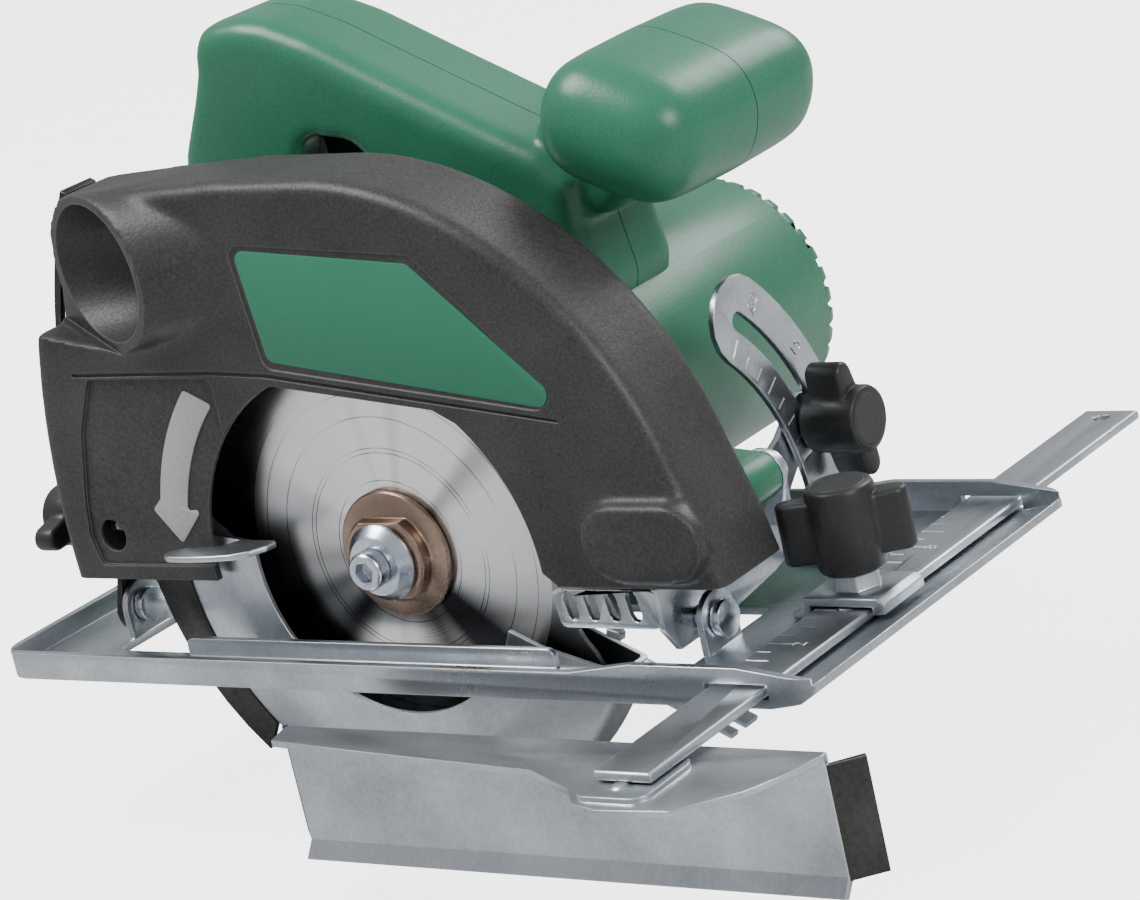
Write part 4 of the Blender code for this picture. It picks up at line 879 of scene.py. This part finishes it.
# %% [markdown]
# ## Label and arrow
# The label is a thin plate in its bed, left plain.  The pale arrow shows which way the blade
# turns; its two sides are arcs about the blade's axis.  Both are outlines with a little
# thickness and eased edges.
# %% Label and arrow
label_outline = rounded([(x * 0.994, z) for x, z in label_bed], 2.8)
label_plate = slab("label_plate", label_outline, "Y", -12.9, -12.1)
ease(label_plate, 0.25, 2, 40)
finished(label_plate, "head", "green_label", LABEL, "guard_label")
arrow = arc(0, BLADE_Z, 65.6, 135, 164, 12) + [(-66.4, 40.2), (-59.3, 31.2), (-50.2, 40.2)]
arrow += arc(0, BLADE_Z, 57.0, 165, 132, 12)
arrow_plate = slab("turning_arrow", rounded(arrow, 0.8, 3), "Y", -12.4, -11.95)
ease(arrow_plate, 0.12, 2, 40)
finished(arrow_plate, "head", "grey_paint", PALE, "direction_arrow")

# %% [markdown]
# ## The swinging guard
# Pressed zinc-plated sheet: a dished near wall, a rim over the teeth and a flat far wall.  Its
# section is spun through a little less than half a turn, from the front edge to the thumb
# lever.  The lever is a spoon-shaped tongue, and a narrow skid closes the front edge.
# %% Lower guard
section = [(39, -9.4), (48.2, -9.4), (50.2, -9.1), (66.2, -5.3), (67.6, -4.6), (68.5, -3.4)]
section += [(68.6, -2.6), (68.6, 6.0), (68.3, 6.9), (67.5, 7.2), (20.5, 7.2), (20.5, 6.0)]
section += [(66.6, 6.0), (67.3, 5.2), (67.3, -2.7), (66.0, -4.0), (49.7, -7.9), (48.4, -8.2)]
section += [(39, -8.2)]
shell = lathe("swinging_guard", section, "Y", HUB, 72, 25, 163)
skid = block("skid", (67.9, -4.6, BLADE_Z - 0.7), (100, 6.8, BLADE_Z + 0.7))
carve(skid, block("slit", (71.5, -1.6, BLADE_Z - 2), (101, 1.6, BLADE_Z + 2)))
ease(skid, 0.3, 2)
turn_about(skid, HUB, 25.9, "Y")
spoon = [(-43.6, -8.8), (-30.5, -8.8), (-31.2, -13.0), (-34, -17.0), (-38, -19.5), (-45, -20.8)]
spoon += [(-52, -21.4), (-57.5, -21.2), (-60.2, -19.4), (-59.8, -17.0), (-56.5, -15.0)]
spoon += [(-51, -14.0), (-46, -13.2)]
lever = slab("thumb_lever", rounded(spoon, 1.6, 3), "Z", 29.4, 31.0)
ease(lever, 0.5, 3, 40)
unite(shell, skid, lever)
finished(shell, "lower_guard_body", "zinc_plate", ZINC, "lower_guard", angle=30)
dressed("riving_knife", "head", "dark_steel", DARK_STEEL_AND_PAINTED_SHADE, 0.2)

# %% [markdown]
# ## Grip, column and front knob
# The loop grip, its column and the front knob are one smooth form, moulded as two shells that
# meet on a seam.  The grip is an outline with rounded sides and a finger hole, the knob is a
# cube rounded into a pillow and tipped forward.  The forms are joined and fused, which fills
# the inner corners, and the seam cuts the result into a near and a far shell.
# %% Grip and knob: one form
SEAM = 60.0
grip_side = [(-81, 62), (-84, 92), (-83, 106), (-80, 117), (-72.5, 131), (-69.3, 138)]
grip_side += [(-68.5, 143), (-65.5, 147.8), (-60, 149.8), (-52, 150.2), (-43.4, 148.8)]
grip_side += [(-30, 143.6), (-9, 132.6), (18.7, 118.4), (34, 111), (42, 103), (41, 92)]
grip_side += [(43.5, 76), (38, 58), (-30, 53), (-70, 50)]
grip = slab("grip", grip_side[::-1], "Y", SEAM - 12.5, SEAM + 12.5)
for side in (-1, 1):
    round_over(grip, "Y", side, quarter(6.0, 6))
finger_hole = [(-45, 103), (-58, 84), (-52, 78), (-22, 86), (-6, 90), (-10, 103), (-22, 117)]
finger_hole += [(-38, 120)]
carve(grip, slab("finger_hole", rounded(finger_hole, 7), "Y", 30, 90))
neck_side = [(34, 96), (46, 92), (66, 104), (60, 120), (30, 118)]
neck = slab("neck", neck_side, "Y", SEAM - 13, SEAM + 13)
ease(neck, 3.5, 3)
knob = block("knob", (44, 23.5, 101), (88, 96.5, 133))
start_edit(knob)
bpy.ops.mesh.bevel(offset=14.5 * MM, segments=5, profile=0.5, affect="EDGES")
bpy.ops.mesh.subdivide(number_cuts=1, smoothness=0.6)
bpy.ops.object.mode_set(mode="OBJECT")
modify(knob, "SMOOTH", factor=0.5, iterations=5)
turn_about(knob, (66, SEAM, 117), 22, "Y")
print("front knob", [round(v / MM, 1) for v in knob.dimensions])
unite(grip, neck, knob, solver=FAST)
fuse(grip, 1.25, 9)

# %% [markdown]
# ## Two shells and the motor's barrel
# The fused form is copied and cut on both sides of the seam, with a thin gap that draws the
# seam line.  The barrel is turned, so its edge stays crisp, and is joined to the far shell.
# %% Near shell, far shell with barrel
ARM = (18.0, 0, 46.5)
pocket = [(-58, 96), (-40, 96), (-28, 112), (-28, 124), (-58, 136)]
carve(grip, slab("switch_pocket", pocket, "Y", SEAM - 9.3, SEAM + 9.3), solver=FAST)
bore = lathe("inlet_bore", [(0, -95), (7.3, -95), (7.3, -74), (0, -74)], "X", (0, SEAM, 74), 48)
carve(grip, bore, solver=FAST)
only(grip)
bpy.ops.object.duplicate()
far = bpy.context.object
far.name = "motor_housing_moulding"
grip.name = "grip_shell_moulding"
carve(grip, block("far_side", (-200, SEAM - 0.16, -50), (200, 200, 250)), solver=FAST)
carve(far, block("near_side", (-200, -100, -50), (200, SEAM + 0.16, 250)), solver=FAST)
room = lathe("barrel_room", [(0, 30), (34.8, 30), (34.8, 130), (0, 130)], "Y", ARM, 96)
carve(grip, room, solver=FAST)
finished(grip, "head", "green_plastic", GREEN, "grip_shell")
barrel = [(0, 33.3), (34.1, 33.3), (34.5, 33.7), (34.5, 123.4), (34.2, 124), (0, 124)]
unite(far, lathe("barrel", barrel, "Y", ARM, 96), solver=FAST)
carve(far, lathe("motor_room", [(0, 32), (32, 32), (32, 125), (0, 125)], "Y", ARM, 96), solver=FAST)
drill(far, "Y", (-46, 131), 5.3, SEAM + 5, 100, 24)
for spot in ((-70, 100), (-2, 118), (-66, 64)):
    drill(far, "Y", spot, 4.0, SEAM + 15.5, 110, 24)
    drill(far, "Y", spot, 2.3, SEAM - 2, 100, 24)
finished(far, "head", "green_plastic", GREEN, "motor_housing")

# %% [markdown]
# ## Motor end cap
# A turned cap with thin ribs round its rim, which let the cooling air in, and slots on its
# face.  The cap is spun, then one small block is turned round the axis to cut every slot.
# %% End cap
cap_section = [(0, 132), (24, 132), (29.5, 130.8), (32.6, 128.4), (33.4, 126), (33.6, 124.3)]
cap_section += [(29.5, 124.3), (29.5, 126.5), (26, 128.6), (12.3, 128.6), (12.3, 117.5)]
cap_section += [(8.3, 117.5), (8.3, 124.5), (0, 124.5)]
cap = lathe("end_cap", cap_section, "Y", ARM, 96)


def slots(piece, count, inner, outer, half, low, high):
    """Cut a ring of equal slots about the armature's axis, half a step from level."""
    x, z = ARM[0], ARM[2]
    for number in range(count):
        cutter = block("slot", (x + inner, low, z - half), (x + outer, high, z + half))
        turn_about(cutter, ARM, (number + 0.5) * 360 / count, "Y")
        carve(piece, cutter, solver=FAST)


slots(cap, 36, 30.2, 35, 1.15, 123, 133)
slots(cap, 12, 14, 25, 1.4, 122, 134)
ease(cap, 0.25, 2, 40)
finished(cap, "head", "green_plastic", GREEN, "motor_end_cap")
dressed("gear_housing", "head", "green_plastic", GREEN, 0.5, 3)
dressed("trigger", "trigger_body", "black_plastic", KNOB_BLACK, 0.9, 3)
dressed("lock_off_button", "button_body", "black_plastic", KNOB_BLACK, 0.4, 3)
dressed("cable_inlet", "head", "rubber", RUBBER, 0.4, 3)

# %% [markdown]
# ## Wing knobs
# Three clamping screws have the same moulded head: a round hub with a thin inlaid disc and two
# rounded wings.  One is modelled along Z and a copy with its own mesh goes onto each screw.
# %% One wing knob, three times
def wing_knob(name, height, stem_r, stem):
    """Knob with its underside on the XY plane of the blade's frame at z = 0."""
    wings = []
    for side in (0, 180):
        tip = (12.4 * math.cos(math.radians(side)), 12.4 * math.sin(math.radians(side)))
        wings += arc(0, 0, 8.4, side - 60, side - 26, 4) + arc(*tip, 3.2, side - 80, side + 80, 8)
        wings += arc(0, 0, 8.4, side + 26, side + 60, 4)
    piece = slab(name, wings, "Z", 3.0, height - 3.0)
    ease(piece, 1.1, 3, 40)
    hub = [(0, 0), (7.2, 0), (7.9, 0.5), (8.3, 1.4), (8.3, height - 1.4), (7.9, height - 0.5)]
    hub += [(7.2, height - 0.1), (6.7, height), (6.5, height - 0.35), (6.3, height), (0, height)]
    unite(piece, lathe("hub", hub, "Z", (0, 0, 0), 64))
    screw = [(0, stem), (stem_r - 0.4, stem), (stem_r, stem + 0.4), (stem_r, 1), (0, 1)]
    return unite(piece, lathe("screw", screw, "Z", (0, 0, 0), 32))


def set_knob(piece, direction, lean, place):
    """Turn a knob from Z onto its screw's direction and put it in its place."""
    turn = AXES["Z"].rotation_difference(Vector(direction)).to_matrix().to_4x4()
    turn = turn @ Matrix.Rotation(math.radians(lean), 4, "Z")
    zero = Matrix.Translation(-at(0, 0, 0))
    piece.matrix_world = Matrix.Translation(at(*place)) @ turn @ zero
    return settle(piece)


TILT = (76.8, 1.0, 9.0)
SLOT_RADIUS = 73.7
SLOT_REST = 18.5
SCREW_Y = TILT[1] + SLOT_RADIUS * math.cos(math.radians(SLOT_REST))
SCREW_Z = TILT[2] + SLOT_RADIUS * math.sin(math.radians(SLOT_REST))
guide_knob = wing_knob("guide_screw_knob", 21.0, 3.0, -6.6)
bevel_knob = wing_knob("bevel_screw_knob", 16.0, 2.1, -5.6)
depth_knob = wing_knob("depth_nut_knob", 12.5, 6.0, 0.5)
bore = lathe("thread_bore", [(0, -1), (3.3, -1), (3.3, 9.5), (0, 9.5)], "Z", (0, 0, 0), 32)
carve(depth_knob, bore)
set_knob(guide_knob, (0, 0, 1), 28, (112.5, 25.5, 12))
set_knob(bevel_knob, (1, 0, 0), 12, (78.2, SCREW_Y, SCREW_Z))
set_knob(depth_knob, (-1, 0, 0), 80, (-105, DEPTH_SCREW_Y, DEPTH_SCREW_Z))
for knob, body, node in ((guide_knob, "guide_screw", "guide_wing_screw"),
                         (bevel_knob, "bevel_screw", "bevel_wing_screw"),
                         (depth_knob, "depth_nut", "depth_wing_nut")):
    finished(knob, body, "black_plastic", KNOB_BLACK, node)

# %% [markdown]
# ## Pressed plates and their bolts
# The bracket, the bridge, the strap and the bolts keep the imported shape.  Each is copied,
# welded and given the small radius that pressed or turned edges have.
# %% Plates and bolts
dressed("tilt_bracket", "tilt_frame", "zinc_plate", ZINC)
dressed("guide_clamp_bridge", "base", "zinc_plate", ZINC)
dressed("depth_strap", "tilt_frame", "dark_steel", DARK_STEEL_AND_PAINTED_SHADE)
BOLTS = {"base": ("front_bevel_bolt", "rear_bevel_bolt", "quadrant_rivet"),
         "head": ("knife_bolt", "depth_bolt"),
         "tilt_frame": ("depth_pivot_pin",)}
for body, names in BOLTS.items():
    for name in names:
        dressed(name, body, "bright_steel", BOLT_ZINC)

# %% [markdown]
# ## Finish for the parts inside
# The motor, gears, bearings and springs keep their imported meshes.  They take the metal and
# moulding finishes by name, so that an opened or tilted saw shows real surfaces.
# %% Parts inside
BEARINGS = ["spindle_front_bearing", "spindle_rear_bearing", "armature_front_bearing",
            "armature_rear_bearing", "bearing_plate", "inner_flange"]
SCREWS = [f"{family}_screw_{number}" for family in ("guard", "grip") for number in (1, 2, 3)]
TURNING = ["spindle", "drive_gear", "armature_shaft", "pinion"]
SPRUNG = ["guard_retaining_ring", "guard_return_spring", "trigger_pin"]
INSIDE = {
    STEEL: BEARINGS + SCREWS + TURNING + SPRUNG,
    IRON: ["stator", "armature_core", "brush_holder_left", "brush_holder_right"],
    CARBON: ["carbon_brush_left", "carbon_brush_right"],
    COPPER: ["commutator"],
    KNOB_BLACK: ["cooling_fan", "switch_block"],
}
for material, names in INSIDE.items():
    for name in names:
        for slot in frame["nodes"][name].material_slots:
            slot.material = material
print("inside", sum(len(names) for names in INSIDE.values()))

# %% [markdown]
# ## Scale plates: marks and numbers
# The bevel plate and the guide arm carry stamped ticks and numbers.  A tick is a thin block
# cut into the surface; a number is text made a mesh, given a little thickness and cut the same
# way.
# %% Stamping tools
def stamp_number(word, size, place, side, up, depth=0.35):
    """Text as a cutter: its face looks along side x up, its middle is at place."""
    bpy.ops.object.select_all(action="DESELECT")
    bpy.ops.object.text_add()
    text = bpy.context.object
    text.data.body = word
    text.data.size = size * MM
    text.data.align_x = "CENTER"
    text.data.align_y = "CENTER"
    text.data.resolution_u = 3
    text.data.extrude = depth * MM
    bpy.ops.object.convert(target="MESH")
    text = bpy.context.object
    across, rise = Vector(side).normalized(), Vector(up).normalized()
    spin_text = Matrix((across, rise, across.cross(rise))).transposed().to_4x4()
    text.matrix_world = Matrix.Translation(place) @ spin_text
    start_edit(settle(text))
    end_edit()
    return text


def tick(low, high, centre=None, degrees=0.0, axis="X"):
    """A thin block, turned about a centre if one is given."""
    piece = block("tick", low, high)
    if centre:
        turn_about(piece, centre, degrees, axis)
    return piece


# %% [markdown]
# ## Bevel plate
# Short ticks stand on its inner band every five degrees and numbers on its outer band.
# %% Bevel plate
FRONT = 77.6
tilt_y, tilt_z = TILT[1:]
bevel_plate = dressed("bevel_quadrant", "base", "zinc_plate", ZINC, 0.35)
for number in range(-1, 7):
    reach = 69.5 if number % 3 == 0 else 68.0
    low = (FRONT - 0.2, tilt_y + 64.6, tilt_z - 0.22)
    high = (FRONT + 0.5, tilt_y + reach, tilt_z + 0.22)
    carve(bevel_plate, tick(low, high, TILT, SLOT_REST + number * 5, "X"))
for angle in (0, 15, 30):
    turn = math.radians(SLOT_REST + angle - 2.0)
    out = Vector((0, math.cos(turn), math.sin(turn)))
    spot = at(FRONT, tilt_y + 80.4 * out.y, tilt_z + 80.4 * out.z)
    carve(bevel_plate, stamp_number(str(angle), 4.6, spot, out, (0, -out.z, out.y), 0.2))
smooth(bevel_plate, 30)

# %% [markdown]
# ## Sole
# The pressed sole gets long stiffening beads and, along its nose, a scale for following a
# pencil line: raised and sunk details on the welded copy.
# %% Sole
SCALE_ZERO_Y = 14.0
TO_THE_RIGHT, UPRIGHT = (0, 1, 0), (-1, 0, 0)
sole = dressed("base_plate", "base", "zinc_plate", ZINC, 0.35)
for low_x, high_x, y in ((-84, 60, 62), (-84, 60, 78), (-84, 78, -21.5)):
    bead = slab("bead", capsule(low_x, y, high_x, y, 2.6, 8), "Z", 1.5, 2.3)
    round_over(bead, "Z", 1, quarter(0.7, 3))
    unite(sole, bead)
for number in range(-2, 14):
    length = 7.0 if number % 2 == 0 else 4.5
    y = SCALE_ZERO_Y + number * 5.0
    if abs(y - 25.5) > 11:
        carve(sole, tick((120.5 - length, y - 0.25, 1.55), (120.5, y + 0.25, 3.2)))
for distance in (20, 30, 40):
    spot = at(96.0, SCALE_ZERO_Y + distance, 1.85)
    carve(sole, stamp_number(str(distance), 5.0, spot, TO_THE_RIGHT, UPRIGHT, 0.25))
smooth(sole, 30)

# %% [markdown]
# ## Guide arm and fence
# The flat arm has a millimetre scale and a round hole.  The fence is one bent sheet with a
# spot-welded pad; its end strips bend back and are painted nearly black, as painted shade and dark
# reflection.
# %% Guide
ARM_ZERO_Y = -24.0
arm = dressed("guide_arm", "guide", "zinc_plate", ZINC)
arm_low, arm_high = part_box("guide_arm")
arm_left, arm_right, arm_top = arm_low.x / MM, arm_high.x / MM, arm_high.z / MM
tick_left = arm_left + 0.8
for number in range(21):
    y = ARM_ZERO_Y + number * 5.0
    tick_right = tick_left + (6.0 if number % 2 == 0 else 3.5)
    carve(arm, tick((tick_left, y - 0.2, arm_top - 0.25), (tick_right, y + 0.2, arm_top + 1)))
for number in range(0, 10, 2):
    spot = at((arm_left + arm_right) / 2 + 1.5, ARM_ZERO_Y + number * 10.0, arm_top)
    carve(arm, stamp_number(str(number), 5.0, spot, TO_THE_RIGHT, UPRIGHT, 0.2))
smooth(arm, 30)
fence = dressed("guide_fence", "guide", "zinc_plate", ZINC)
for x, y in ((108, -66), (117, -66), (112.5, -76)):
    dimple = [(0, 2.9), (1.6, 2.8), (2.4, 2.3), (2.5, 1.5), (0, 1.5)]
    unite(fence, lathe("weld", dimple, "Z", (x, y, 0), 24))
# Painted shade: the bent-back end strips take the dark finish in place of the dark they reflect.
fence.data.materials.append(DARK_STEEL_AND_PAINTED_SHADE)
for face in fence.data.polygons:
    x = face.center.x / MM
    if (x < -2.4 or x > 149.9) and abs(face.center.z / MM + 15) < 14:
        face.material_index = 1
print("dark faces of the fence", sum(face.material_index for face in fence.data.polygons))
